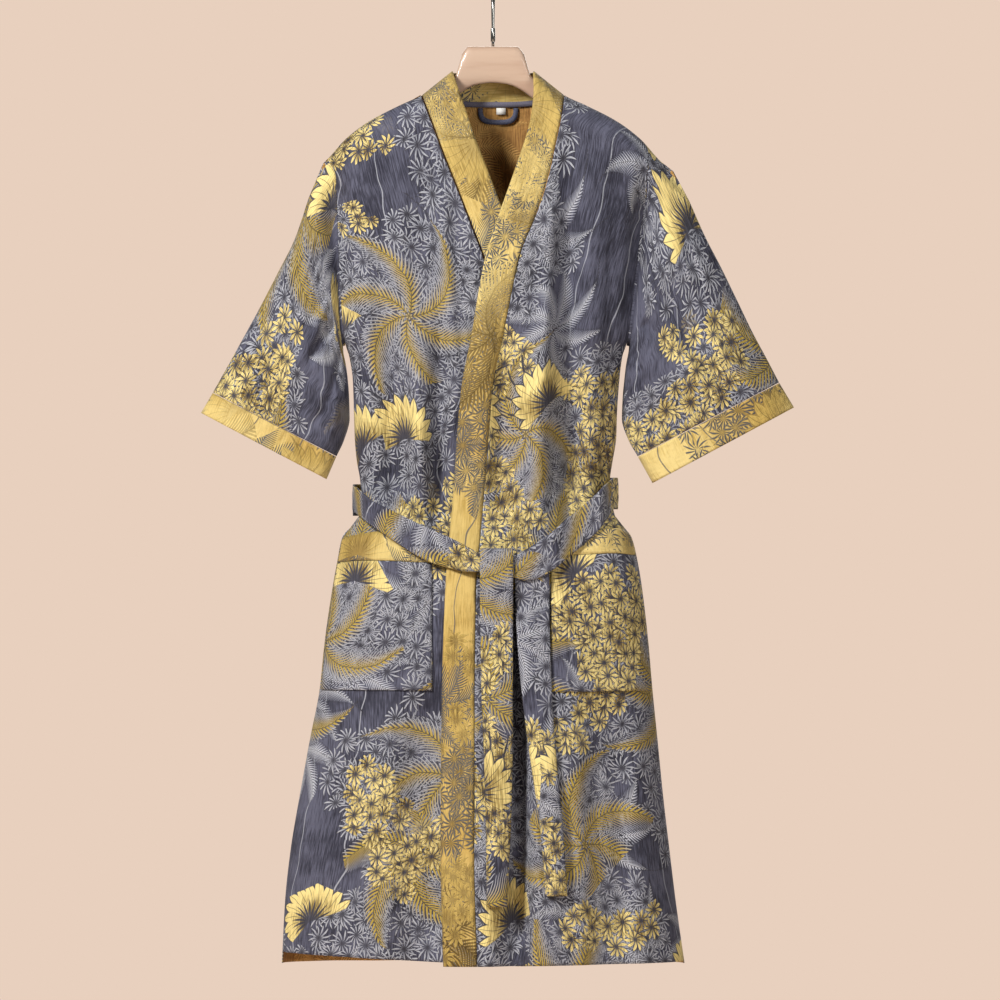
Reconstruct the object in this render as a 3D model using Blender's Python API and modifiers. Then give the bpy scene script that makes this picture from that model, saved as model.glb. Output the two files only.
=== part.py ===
"""A kimono robe of woven cotton, tied with its own belt and hung on a wooden hanger.

Units are metres. +Z is up and the robe's front faces -Y. The origin is the inside top of the
hanger's hook, where a rail carries it. Left and right are those of someone looking at the front.
Each cloth piece is an open sheet worked out from its sizes, with Solidify as its wall.
"""

import math
from collections import namedtuple

import bmesh
import bpy
import numpy as np
from mathutils import Vector

# Cloth thicknesses and the gap kept between two pieces
PANEL_WALL = 0.002
BAND_WALL = 0.003
BELT_WALL = 0.003
TRIM_WALL = 0.001
SEAM_GAP = 0.0006
TOUCH_GAP = 0.0004

# Shape of the body's level sections, rounded like a flattened tube
SIDE_POWER = 2.6
SIDE_ROOT = 1 / 2.2
SHOULDER_CROWN = 0.03
ARMHOLE_FULLNESS = 0.016
ARMHOLE_ROUNDING = 0.12

# How far the lapping front stands in front of the one under it, and where that ends
LAP_LIFT = 0.0062
LAP_TOP = -0.19
LAP_FULL = -0.29
LAP_FLAT_TO = 0.088
LAP_GONE_AT = 0.15
UNDER_SINK = 0.0035
UNDER_GAP = 0.0010
SLANT_GAP = 0.0011
BAND_PROUD = 0.0006

# Heights of the corners of the panels
NECK_POINT = (0.0916, -0.1677)
BACK_NECK_HEIGHT = -0.1793
LEFT_TIP = (-0.2167, -0.2528)
RIGHT_TIP = (0.2296, -0.2632)
UNDERARM_HEIGHT = -0.4915
FRONT_HEM_CENTRE = -1.2913
FRONT_HEM_LEFT = -1.2755
FRONT_HEM_RIGHT = -1.2875
BACK_HEM = -1.2905

# One row for each level: half widths at the side seams or armholes, and depths of front and back
Level = namedtuple("Level", "z left right front back")
LEVELS = [
    Level(-1.300, 0.2738, 0.2492, 0.103, 0.095),
    Level(-1.2075, 0.2690, 0.2361, 0.099, 0.092),
    Level(-1.1430, 0.2619, 0.2283, 0.096, 0.089),
    Level(-1.0780, 0.2510, 0.2206, 0.093, 0.085),
    Level(-1.0010, 0.2370, 0.2129, 0.089, 0.081),
    Level(-0.9365, 0.2245, 0.2064, 0.085, 0.077),
    Level(-0.8747, 0.2180, 0.2010, 0.080, 0.072),
    Level(-0.8060, 0.2080, 0.1930, 0.072, 0.064),
    Level(-0.7700, 0.2015, 0.1870, 0.066, 0.058),
    Level(-0.7390, 0.1950, 0.1790, 0.059, 0.052),
    Level(-0.7185, 0.1765, 0.1605, 0.054, 0.048),
    Level(-0.7050, 0.1715, 0.1560, 0.052, 0.047),
    Level(-0.6850, 0.1705, 0.1510, 0.052, 0.047),
    Level(-0.6644, 0.1722, 0.1515, 0.055, 0.049),
    Level(-0.6400, 0.1765, 0.1550, 0.058, 0.052),
    Level(-0.6115, 0.1790, 0.1595, 0.061, 0.055),
    Level(-0.5805, 0.1800, 0.1605, 0.063, 0.057),
    Level(-0.5366, 0.1815, 0.1635, 0.064, 0.058),
    Level(-0.5050, 0.1862, 0.1675, 0.064, 0.058),
    Level(-0.4915, 0.1905, 0.1720, 0.064, 0.058),
    Level(-0.4600, 0.1945, 0.1770, 0.063, 0.057),
    Level(-0.3844, 0.1993, 0.1858, 0.057, 0.052),
    Level(-0.2928, 0.2025, 0.2000, 0.048, 0.044),
    Level(-0.2632, 0.2105, 0.2296, 0.042, 0.039),
    Level(-0.2528, 0.2167, 0.2360, 0.040, 0.037),
    Level(-0.1900, 0.2300, 0.2400, 0.034, 0.033),
    Level(-0.1300, 0.2300, 0.2400, 0.028, 0.029),
]

# Height of the robe's top ridge over x, from between the neckband's free edges to the sleeve
RidgePoint = namedtuple("RidgePoint", "x z")
RIDGE = [
    RidgePoint(0.0000, -0.0945),
    RidgePoint(0.0529, -0.1367),
    RidgePoint(0.0916, -0.1677),
    RidgePoint(0.1200, -0.1805),
    RidgePoint(0.1600, -0.2010),
    RidgePoint(0.1900, -0.2235),
    RidgePoint(0.2167, -0.2528),
    RidgePoint(0.2296, -0.2632),
    RidgePoint(0.2600, -0.3000),
]

# The neckband down each front: its sewn edge and its free edge, from the neck to the hem
BandRow = namedtuple("BandRow", "seam_x seam_z free_x free_z")
LAPPING_BAND = [
    BandRow(0.0916, -0.1677, 0.0529, -0.1367),
    BandRow(0.0893, -0.1860, 0.0522, -0.1640),
    BandRow(0.0826, -0.2206, 0.0490, -0.1950),
    BandRow(0.0684, -0.2825, 0.0265, -0.2690),
    BandRow(0.0516, -0.3315, 0.0095, -0.3170),
    BandRow(0.0353, -0.3708, -0.0055, -0.3590),
    BandRow(0.0245, -0.4205, -0.0170, -0.4130),
    BandRow(0.0108, -0.4890, -0.0290, -0.4850),
    BandRow(0.0000, -0.5418, -0.0394, -0.5366),
    BandRow(-0.0052, -0.6011, -0.0458, -0.5985),
    BandRow(-0.0124, -0.6914, -0.0519, -0.6914),
    BandRow(-0.0170, -0.7430, -0.0571, -0.7430),
    BandRow(-0.0219, -0.8024, -0.0613, -0.8024),
    BandRow(-0.0240, -0.9500, -0.0660, -0.9500),
    BandRow(-0.0242, -1.1550, -0.0675, -1.1550),
    BandRow(-0.0205, -1.2913, -0.0640, -1.2913),
]
UNDER_BAND = [
    BandRow(-0.0916, -0.1677, -0.0529, -0.1367),
    BandRow(-0.0787, -0.2012, -0.0387, -0.1767),
    BandRow(-0.0645, -0.2399, -0.0245, -0.2193),
    BandRow(-0.0490, -0.2786, -0.0090, -0.2593),
    BandRow(-0.0271, -0.3354, 0.0135, -0.3190),
    BandRow(-0.0065, -0.3909, 0.0348, -0.3741),
    BandRow(0.0129, -0.4721, 0.0555, -0.4566),
    BandRow(0.0245, -0.5624, 0.0671, -0.5495),
    BandRow(0.0310, -0.6527, 0.0740, -0.6450),
    BandRow(0.0348, -0.7430, 0.0774, -0.7430),
    BandRow(0.0348, -1.0000, 0.0774, -1.0000),
    BandRow(0.0348, -1.2890, 0.0774, -1.2890),
]

# The largest soft folds: a ridge where rise is positive, a trough where it is negative
Fold = namedtuple("Fold", "top_x top_z bottom_x bottom_z width rise")
FRONT_FOLDS = [
    Fold(0.098, -0.20, 0.090, -0.62, 0.013, -0.0050),
    Fold(0.125, -0.22, 0.120, -0.60, 0.015, 0.0045),
    Fold(-0.085, -0.22, -0.100, -0.56, 0.015, -0.0045),
    Fold(-0.118, -0.24, -0.125, -0.60, 0.016, 0.0050),
    Fold(0.112, -0.50, 0.094, -0.73, 0.013, -0.0120),
    Fold(0.135, -0.52, 0.128, -0.74, 0.011, 0.0060),
    Fold(0.060, -0.54, 0.050, -0.74, 0.012, 0.0055),
    Fold(-0.135, -0.52, -0.125, -0.74, 0.014, -0.0085),
    Fold(-0.093, -0.54, -0.092, -0.75, 0.012, 0.0065),
    Fold(-0.070, -0.56, -0.071, -0.75, 0.008, -0.0050),
    Fold(0.040, -0.82, 0.024, -1.31, 0.017, -0.0170),
    Fold(0.070, -0.95, 0.078, -1.34, 0.022, 0.0090),
    Fold(0.135, -0.93, 0.150, -1.34, 0.022, -0.0085),
    Fold(0.185, -1.00, 0.195, -1.34, 0.018, 0.0060),
    Fold(-0.095, -0.92, -0.105, -1.34, 0.017, -0.0090),
    Fold(-0.145, -0.95, -0.165, -1.34, 0.020, 0.0085),
    Fold(-0.195, -1.02, -0.222, -1.34, 0.018, -0.0070),
]
BACK_FOLDS = [
    Fold(-0.090, -0.20, -0.105, -0.64, 0.018, 0.0060),
    Fold(-0.045, -0.22, -0.055, -0.66, 0.017, -0.0055),
    Fold(0.010, -0.20, 0.000, -0.66, 0.018, 0.0045),
    Fold(0.070, -0.21, 0.085, -0.64, 0.018, -0.0055),
    Fold(0.120, -0.25, 0.118, -0.64, 0.016, 0.0050),
    Fold(-0.125, -0.56, -0.120, -0.76, 0.012, -0.0075),
    Fold(-0.075, -0.55, -0.080, -0.78, 0.012, 0.0070),
    Fold(-0.030, -0.56, -0.025, -0.78, 0.012, -0.0065),
    Fold(0.028, -0.55, 0.030, -0.78, 0.013, 0.0065),
    Fold(0.080, -0.56, 0.078, -0.78, 0.012, -0.0070),
    Fold(-0.190, -0.74, -0.215, -1.36, 0.020, 0.0075),
    Fold(-0.130, -0.72, -0.150, -1.36, 0.022, -0.0110),
    Fold(-0.070, -0.72, -0.078, -1.36, 0.023, 0.0120),
    Fold(0.000, -0.72, -0.004, -1.36, 0.024, -0.0125),
    Fold(0.070, -0.72, 0.078, -1.36, 0.023, 0.0115),
    Fold(0.130, -0.72, 0.150, -1.36, 0.022, -0.0100),
    Fold(0.180, -0.76, 0.205, -1.36, 0.018, 0.0070),
]
FOLD_FADE = 0.10

# Sleeves from below the armhole to the cuff's seam, then the cuff's end: top and under fold
SleeveRow = namedtuple("SleeveRow", "top_x top_z under_x under_z half_depth")
LEFT_SLEEVE = [
    SleeveRow(-0.2387, -0.3006, -0.1932, -0.5035, 0.034),
    SleeveRow(-0.2567, -0.3535, -0.1905, -0.5165, 0.037),
    SleeveRow(-0.2786, -0.3973, -0.1880, -0.5350, 0.039),
    SleeveRow(-0.3019, -0.4425, -0.1862, -0.5600, 0.040),
    SleeveRow(-0.3251, -0.4850, -0.1856, -0.5860, 0.040),
    SleeveRow(-0.3444, -0.5199, -0.1925, -0.6130, 0.038),
    SleeveRow(-0.3625, -0.5521, -0.2025, -0.6347, 0.036),
    SleeveRow(-0.3780, -0.5786, -0.2154, -0.6644, 0.034),
]
RIGHT_SLEEVE = [
    SleeveRow(0.2541, -0.3044, 0.1747, -0.5035, 0.034),
    SleeveRow(0.2748, -0.3509, 0.1722, -0.5165, 0.037),
    SleeveRow(0.2954, -0.3909, 0.1700, -0.5350, 0.039),
    SleeveRow(0.3161, -0.4334, 0.1677, -0.5600, 0.040),
    SleeveRow(0.3367, -0.4760, 0.1668, -0.5860, 0.040),
    SleeveRow(0.3548, -0.5096, 0.1750, -0.6130, 0.038),
    SleeveRow(0.3702, -0.5392, 0.1871, -0.6347, 0.036),
    SleeveRow(0.3896, -0.5715, 0.2064, -0.6695, 0.034),
]
SLEEVE_POWER = 0.82
SLEEVE_START = 0.004
ARMHOLE_GAP = 0.0006
CUFF_GAP = 0.0009

# Drops below the shoulder ridge at which the panels have rows, then heights of level rows
CROWN_DROPS = [0.0, 0.00002, 0.003, 0.012, 0.034]
NECK_DROPS = [0.0, 0.0020, 0.0060, 0.016, 0.034]
CROWN_TO_LEVEL = [0.36, 0.70]
UPPER_LEVELS = [-0.335, -0.385, -0.440, UNDERARM_HEIGHT, -0.545, -0.600, -0.645, -0.682, -0.712]
BACK_LEVELS = [-0.740, -0.790, -0.850, -0.920, -1.000]
LOWER_LEVELS = [-1.020, -1.100, -1.190]
# Shares of the way from a panel's side to its pocket line at which it has columns
SIDE_SHARES = [0.0, 0.004, 0.030, 0.100]
SIDE_COLUMNS = 6
MIDDLE_COLUMNS = 6
BACK_SIDE_SHARES = [0.0, 0.002, 0.015, 0.050]
BACK_COLUMNS = 8
# Insets from the neck points at which the back has columns
NECK_INSETS = [0.0, 0.0035, 0.0095, 0.0190]
EDGE_RISE = 0.0025
POCKET_LINE_SHARE = 0.51

# Patch pockets, each from its inner edge out to the side; a larger gape_at moves its open
# part towards the middle of the robe
Pocket = namedtuple("Pocket", "inner_x top band_foot foot gape gape_at")
LEFT_POCKET = Pocket(-0.0787, -0.7425, -0.7720, -0.9365, 0.0190, 0.62)
RIGHT_POCKET = Pocket(0.0748, -0.7345, -0.7630, -0.9380, 0.0175, 0.66)
POCKET_ROWS = 5
POCKET_OUTER_COLUMN = 2

# Belt: its loop round the waist and its two hanging ends
BELT_WIDTH = 0.041
KNOT_HEIGHT = -0.7765
KNOT_END = -0.7950
KNOT_LIFT = 0.0080
SIDE_HEIGHT_LEFT = -0.6914
SIDE_HEIGHT_RIGHT = -0.6830
BACK_SAG = 0.012
BELT_COLUMNS = 60
BELT_GAP = 0.0006
BELT_REACH = 0.009
TAPE_GAP = 0.0015

# The loop in front, from the left side to the right one: its middle and its upright width
BeltRow = namedtuple("BeltRow", "x z width")
BELT_FRONT = [
    BeltRow(-0.1780, -0.6914, 0.034),
    BeltRow(-0.1600, -0.7056, 0.032),
    BeltRow(-0.1340, -0.7213, 0.037),
    BeltRow(-0.0845, -0.7485, 0.043),
    BeltRow(-0.0580, -0.7585, 0.040),
    BeltRow(-0.0387, -0.7656, 0.035),
    BeltRow(-0.0168, -0.7720, 0.025),
    BeltRow(0.0045, -0.7765, 0.023),
    BeltRow(0.0260, -0.7775, 0.027),
    BeltRow(0.0413, -0.7753, 0.040),
    BeltRow(0.0671, -0.7630, 0.049),
    BeltRow(0.1120, -0.7272, 0.051),
    BeltRow(0.1340, -0.7076, 0.050),
    BeltRow(0.1560, -0.6830, 0.040),
]

# The belt's ends from the knot down: centre, visible width, and how far the middle stands forward
EndRow = namedtuple("EndRow", "x z width crown")
FRONT_END = [
    EndRow(0.0045, -0.770, 0.0426, 0.0010),
    EndRow(0.0045, -0.820, 0.0426, 0.0012),
    EndRow(0.0048, -0.880, 0.0415, 0.0020),
    EndRow(0.0054, -0.950, 0.0400, 0.0030),
    EndRow(0.0068, -1.020, 0.0370, 0.0045),
    EndRow(0.0070, -1.090, 0.0335, 0.0060),
    EndRow(0.0062, -1.150, 0.0300, 0.0070),
    EndRow(0.0050, -1.214, 0.0260, 0.0070),
]
BACK_END = [
    EndRow(0.0505, -0.772, 0.0440, 0.0000),
    EndRow(0.0505, -0.800, 0.0440, 0.0000),
    EndRow(0.0515, -0.850, 0.0430, 0.0015),
    EndRow(0.0545, -0.910, 0.0410, 0.0030),
    EndRow(0.0590, -0.970, 0.0370, 0.0045),
    EndRow(0.0665, -1.040, 0.0330, 0.0055),
    EndRow(0.0750, -1.110, 0.0300, 0.0060),
    EndRow(0.0815, -1.200, 0.0280, 0.0060),
]
END_COLUMNS = 5
END_ROWS = 13

# Trim inside the back neck
TAPE_HALF_WIDTH = 0.058
TAPE_TOP = -0.1752
TAPE_FOOT = -0.1822
LOOP_CENTRE_X = 0.0065
LOOP_HALF_WIDTH = 0.0262
LOOP_DROP = 0.0215
LOOP_STRIP = 0.0062
LABEL_CENTRE_X = 0.0103
LABEL_SIZE = (0.0120, 0.0085)

# Hanger: one row for each station from its middle to its tip
HangerRow = namedtuple("HangerRow", "x top foot thickness")
HANGER = [
    HangerRow(0.000, -0.1045, -0.1510, 0.0150),
    HangerRow(0.020, -0.1045, -0.1535, 0.0150),
    HangerRow(0.036, -0.1050, -0.1605, 0.0155),
    HangerRow(0.0475, -0.1400, -0.1690, 0.0160),
    HangerRow(0.056, -0.1480, -0.1745, 0.0165),
    HangerRow(0.075, -0.1635, -0.1870, 0.0175),
    HangerRow(0.100, -0.1785, -0.2030, 0.0205),
    HangerRow(0.130, -0.1925, -0.2180, 0.0260),
    HangerRow(0.160, -0.2085, -0.2330, 0.0310),
    HangerRow(0.185, -0.2270, -0.2470, 0.0300),
    HangerRow(0.202, -0.2440, -0.2570, 0.0200),
    HangerRow(0.208, -0.2510, -0.2560, 0.0110),
]
HANGER_POINTS = 12
HOOK_INSIDE_RADIUS = 0.019
HOOK_BOW_WIRE = 0.0030
HOOK_SHANK_WIRE = 0.0019
HOOK_FOOT = -0.1041
FERRULE_TOP = -0.0800
FERRULE_FOOT = -0.0980
FERRULE_RADIUS = 0.0030
FERRULE_BORE = 0.0023

# Colours of the finishes, as red, green and blue, with roughness and metallic value
Finish = namedtuple("Finish", "colour roughness metallic")
FINISHES = {
    "slate_jacquard": Finish((0.165, 0.170, 0.230), 0.85, 0.0),
    "gold_jacquard": Finish((0.620, 0.440, 0.120), 0.80, 0.0),
    "tape": Finish((0.330, 0.320, 0.370), 0.85, 0.0),
    "label": Finish((0.850, 0.850, 0.840), 0.80, 0.0),
    "hanger_wood": Finish((0.800, 0.640, 0.520), 0.45, 0.0),
    "hook_steel": Finish((0.560, 0.560, 0.540), 0.28, 1.0),
}


def smooth(knots, values, at):
    """Value at each place on a cubic curve through the knots that doesn't overshoot them."""
    knots = np.asarray(knots, float)
    values = np.asarray(values, float)
    step = np.diff(knots)
    rise = np.diff(values) / step
    slope = np.concatenate([rise[:1], np.zeros(len(knots) - 2), rise[-1:]])
    product = rise[:-1] * rise[1:]
    total = np.where(product > 0, rise[:-1] + rise[1:], 1.0)
    slope[1:-1] = np.where(product > 0, 2 * product / total, 0.0)
    place = np.clip(np.asarray(at, float), knots[0], knots[-1])
    k = np.clip(np.searchsorted(knots, place) - 1, 0, len(knots) - 2)
    t = (place - knots[k]) / step[k]
    start = (1 + 2 * t) * (1 - t) ** 2 * values[k] + t * (1 - t) ** 2 * step[k] * slope[k]
    end = t * t * (3 - 2 * t) * values[k + 1] + t * t * (t - 1) * step[k] * slope[k + 1]
    return start + end


def column(table, key, name, at):
    """A table's named column, read on a smooth curve at places along its key column."""
    rows = sorted(table, key=lambda row: getattr(row, key))
    keys = [getattr(row, key) for row in rows]
    return smooth(keys, [getattr(row, name) for row in rows], at)


def step_up(start, end, at):
    """0 before start and 1 after end, turning smoothly between them."""
    t = np.clip((np.asarray(at, float) - start) / (end - start), 0, 1)
    return t * t * (3 - 2 * t)


def ridge_height(x):
    """Height of the shoulder ridge, or of its run on under the neckband, over x."""
    return column(RIDGE, "x", "z", np.abs(x))


def side_width(z, x):
    """Distance of the side seam or armhole edge from the middle, on the side that x is on."""
    left = column(LEVELS, "z", "left", z)
    right = column(LEVELS, "z", "right", z)
    return np.where(np.asarray(x) < 0, left, right)


def fold_height(folds, x, z):
    """How far the folds raise the cloth at a point of a panel."""
    total = np.zeros(np.broadcast(x, z).shape)
    for fold in folds:
        along = (fold.top_z - z) / (fold.top_z - fold.bottom_z)
        centre = fold.top_x + (fold.bottom_x - fold.top_x) * np.clip(along, 0, 1)
        fade_in = step_up(-fold.top_z - FOLD_FADE / 2, -fold.top_z + FOLD_FADE, -z)
        fade_out = 1 - step_up(-fold.bottom_z - FOLD_FADE, -fold.bottom_z + FOLD_FADE / 2, -z)
        across = np.exp(-(((x - centre) / fold.width) ** 2))
        total = total + fold.rise * across * fade_in * fade_out
    return total


def body_depth(x, z, face):
    """Distance of a panel's outer face from the plane of the seams; face is -1 in front, 1 behind."""
    x = np.asarray(x, float)
    z = np.asarray(z, float)
    above = np.clip((z - UNDERARM_HEIGHT) / ARMHOLE_ROUNDING, 0, 1)
    fullness = ARMHOLE_FULLNESS * np.sqrt(1 - (1 - above) ** 2)
    across = np.clip(np.abs(x) / (side_width(z, x) + fullness), 0, 1)
    roundness = (1 - across**SIDE_POWER) ** SIDE_ROOT
    drop = np.clip((ridge_height(x) - z) / SHOULDER_CROWN, 0, 1)
    crown = np.sqrt(1 - (1 - drop) ** 2)
    depth = column(LEVELS, "z", "front" if face < 0 else "back", z)
    folds = fold_height(FRONT_FOLDS if face < 0 else BACK_FOLDS, x, z)
    folds = folds * np.clip(roundness * 1.6 - 0.5, 0, 1) * crown * pocket_calm(x, z, face)
    return np.hypot(SEAM_GAP / 2, depth * roundness * crown) + folds


def pocket_calm(x, z, face):
    """1 on the open cloth and less where a pocket's second layer holds it flat."""
    if face > 0:
        return 1.0
    calm = 1.0
    for pocket in (LEFT_POCKET, RIGHT_POCKET):
        side = math.copysign(1, pocket.inner_x)
        inside = step_up(abs(pocket.inner_x) - 0.02, abs(pocket.inner_x) + 0.02, side * x)
        high = 1 - step_up(pocket.top - 0.02, pocket.top + 0.02, z)
        low = step_up(pocket.foot - 0.03, pocket.foot + 0.02, z)
        calm = calm * (1 - 0.8 * inside * high * low)
    return calm


def lap_lift(x, z):
    """How far the lapping front is lifted clear of the front under it."""
    down = step_up(-LAP_TOP, -LAP_FULL, -np.asarray(z, float))
    return LAP_LIFT * down * (1 - step_up(LAP_FLAT_TO, LAP_GONE_AT, x))


def under_sink(x, z):
    """How far the front under the lap is pressed in by it."""
    down = step_up(-LAP_FULL, -LAP_FULL + 0.12, -np.asarray(z, float))
    return UNDER_SINK * down * step_up(-0.080, -0.020, x)


def front_point(x, z, lapping, proud=0.0):
    """Points on the outer face of a front, moved out by proud."""
    lift = lap_lift(x, z) if lapping else -under_sink(x, z)
    return np.stack(np.broadcast_arrays(x, -(body_depth(x, z, -1) + lift + proud), z), -1)


def back_point(x, z, proud=0.0):
    """Points on the outer face of the back, moved out by proud."""
    return np.stack(np.broadcast_arrays(x, body_depth(x, z, 1) + proud, z), -1)


def pocket_rows(pocket):
    """Heights of the rows along a pocket, from the top of its band to its foot."""
    band = [pocket.top, (pocket.top + pocket.band_foot) / 2]
    return band + list(np.linspace(pocket.band_foot, pocket.foot, POCKET_ROWS))


def row_heights(top, drops, levels, hem):
    """Heights of a panel's rows under each point of its top edge, down to its hem."""
    crown = top[None, :] - drops
    first = levels[0]
    turning = [crown[-1] + (first - crown[-1]) * share for share in CROWN_TO_LEVEL]
    flat = [np.full(len(top), level) for level in levels]
    return np.array(list(crown) + turning + flat + [hem])


def front_grid(lapping):
    """Outer face of one front: rows from the shoulder to the hem, columns from the side inwards."""
    band, pocket = (LAPPING_BAND, RIGHT_POCKET) if lapping else (UNDER_BAND, LEFT_POCKET)
    tip, hem = (RIGHT_TIP, FRONT_HEM_RIGHT) if lapping else (LEFT_TIP, FRONT_HEM_LEFT)
    side = math.copysign(1, tip[0])
    outer = SIDE_SHARES + list(np.linspace(SIDE_SHARES[-1], 1, SIDE_COLUMNS + 1)[1:])
    inner = list(np.linspace(1, 2, MIDDLE_COLUMNS + 1)[1:])
    shares = np.array(outer + inner)
    top_x = tip[0] + (side * NECK_POINT[0] - tip[0]) * np.clip(shares / 2, 0, 1)
    levels = UPPER_LEVELS + pocket_rows(pocket) + LOWER_LEVELS
    hem_z = hem + (FRONT_HEM_CENTRE - hem) * shares / 2
    z = row_heights(ridge_height(top_x), np.array(CROWN_DROPS)[:, None], levels, hem_z)
    slanted, upright = (SLANT_GAP, TOUCH_GAP) if lapping else (2 * SLANT_GAP, UNDER_GAP)
    gap = side * np.where(z[:, -1] > -0.40, slanted, upright)
    out_x = (side * side_width(z[:, 0], side))[:, None]
    in_x = (column(band, "seam_z", "seam_x", z[:, -1]) + gap)[:, None]
    level = z[:, :1]
    plain = out_x + (in_x - out_x) * POCKET_LINE_SHARE
    held = step_up(0.42, 0.64, -level) * (1 - step_up(0.97, 1.26, -level))
    line_x = plain + (pocket.inner_x - plain) * held
    x = np.where(shares < 1, out_x + (line_x - out_x) * shares,
                 line_x + (in_x - line_x) * (shares - 1))
    crown = len(CROWN_DROPS)
    to_ridge = ridge_height(x[:crown]) - np.array(CROWN_DROPS)[:, None] - z[:crown]
    z[:crown] += to_ridge * (1 - (shares / 2) ** 3)
    points = front_point(x, z, lapping)
    return seam_plane(points, np.ones(z.shape[1], bool))


def seam_plane(points, shoulder):
    """points with those of the shoulder and side seams brought to half the gap from their plane."""
    side = np.sign(points[..., 1].sum())
    points[0, :, 1] = np.where(shoulder, side * SEAM_GAP / 2, points[0, :, 1])
    risen = side * np.maximum(np.abs(points[1, :, 1]), EDGE_RISE)
    points[1, :, 1] = np.where(shoulder, risen, points[1, :, 1])
    low = points[:, 0, 2] <= UNDERARM_HEIGHT + 1e-6
    points[low, 0, 1] = side * SEAM_GAP / 2
    return points


def back_half(tip):
    """Half of the back's outer face, from its side seam to the middle."""
    side = math.copysign(1, tip[0])
    width = abs(tip[0])
    neck = [1 - (NECK_POINT[0] - inset) / width for inset in NECK_INSETS]
    outer = list(np.linspace(BACK_SIDE_SHARES[-1], neck[0], BACK_COLUMNS // 2 + 1)[1:-1])
    inner = list(np.linspace(neck[-1], 1, BACK_COLUMNS // 2 + 1)[1:])
    shares = np.array(BACK_SIDE_SHARES + outer + neck + inner)
    top_x = side * width * (1 - shares)
    in_neck = np.abs(top_x) < NECK_POINT[0] - 1e-6
    top = np.where(in_neck, neck_height(top_x), ridge_height(top_x))
    inset = step_up(0.0, 0.010, NECK_POINT[0] - np.abs(top_x))[None, :]
    drops = np.array(CROWN_DROPS)[:, None] * (1 - inset) + np.array(NECK_DROPS)[:, None] * inset
    levels = UPPER_LEVELS + BACK_LEVELS + LOWER_LEVELS[1:]
    z = row_heights(top, drops, levels, np.full(len(shares), BACK_HEM))
    out_x = (side * side_width(z[:, 0], side))[:, None]
    line_x = out_x * (1 - neck[0])
    line_x[: len(CROWN_DROPS)] = side * NECK_POINT[0]
    beside = out_x + (line_x - out_x) * shares[None, :] / neck[0]
    x = np.where(shares < neck[0], beside, line_x * (1 - shares[None, :]) / (1 - neck[0]))
    return seam_plane(back_point(x, z), ~in_neck)


def neck_height(x):
    """Height of the back neckline: level in the middle, rising to the neck points."""
    share = np.clip(np.abs(x) / NECK_POINT[0], 0, 1)
    return BACK_NECK_HEIGHT + (NECK_POINT[1] - BACK_NECK_HEIGHT) * share**3


def back_grid():
    """Outer face of the back, from the left side seam to the right one."""
    left, right = back_half(LEFT_TIP), back_half(RIGHT_TIP)
    return np.concatenate([left, right[:, -2::-1]], axis=1)


def band_side(lapping, panel):
    """One side of the neckband up from its hem to the shoulder, along its panel's inner seam."""
    table = LAPPING_BAND if lapping else UNDER_BAND
    seam_z = np.delete(panel[::-1, -1, 2], -2)
    seam_x, free_x, free_z = (
        column(table, "seam_z", name, seam_z) for name in ("seam_x", "free_x", "free_z")
    )
    seam = front_point(seam_x, seam_z, lapping, BAND_PROUD)
    middle = front_point((seam_x + free_x) / 2, (seam_z + free_z) / 2, lapping, BAND_PROUD)
    free = front_point(free_x, free_z, lapping, BAND_PROUD)
    strip = np.stack([seam, middle, free], 1)
    strip[-1, :, 1] = 0
    strip[-1, :, 2] += BAND_PROUD
    return strip


def band_back(back):
    """The neckband round the back neck, from the left shoulder to the right one."""
    top = back[0]
    seam_x = top[np.abs(top[:, 0]) < NECK_POINT[0] - 1e-4, 0]
    free_x = seam_x / NECK_POINT[0] * LAPPING_BAND[0].free_x
    seam_z = neck_height(seam_x) + TOUCH_GAP * 2
    free_z = np.full(len(seam_x), LAPPING_BAND[0].free_z - 0.0013)
    seam = back_point(seam_x, seam_z, BAND_PROUD)
    middle = back_point((seam_x + free_x) / 2, (seam_z + free_z) / 2, BAND_PROUD)
    free = back_point(free_x, free_z, BAND_PROUD)
    return np.stack([seam, middle, free], 1)


def neckband_grid(under, over, back):
    """The whole neckband as one strip: up the under front, round the neck, down the lapping one."""
    up = band_side(False, under)
    down = band_side(True, over)[::-1]
    return np.concatenate([up, band_back(back), down], 0)


def armhole_ring(front, back):
    """The edge of the armhole, read from both panels' own edge points, from the tip round."""
    used = [i for i in range(len(front)) if i != 1 and front[i, 0, 2] >= UNDERARM_HEIGHT - 1e-6]
    ring = [front[i, 0] for i in used] + [back[i, 0] for i in used[-2:0:-1]]
    inner = [front[i, 3] for i in used] + [back[i, 3] for i in used[-2:0:-1]]
    ring = np.array(ring)
    outward = ring - np.array(inner)
    under = len(used) - 1
    ring[[0, under], 1] = 0
    outward[[0, under], 1] = 0
    side = np.sign(ring[0, 0])
    outward[0] = (side * 0.7, 0, -0.7)
    outward[under] = (side, 0, -0.25)
    return ring, outward / np.linalg.norm(outward, axis=1)[:, None], under


def sleeve_rings(table, front, back):
    """Rings of a sleeve and of its cuff, from the armhole to the cuff's end."""
    edge, outward, under = armhole_ring(front, back)
    side = np.sign(edge[0, 0])
    start = edge + outward * 0.0002 + np.array([side * ARMHOLE_GAP, 0, 0])
    start[0, 2] -= 0.0004
    rings = [start, start + outward * SLEEVE_START]
    height = edge[0, 2] - edge[under, 2]
    share = 2 * (edge[:, 2] - edge[under, 2]) / height - 1
    angle = np.arccos(np.clip(share, -1, 1))
    angle[under + 1 :] *= -1
    for row in table:
        rings.append(sleeve_ring(row, angle))
    return rings


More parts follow.
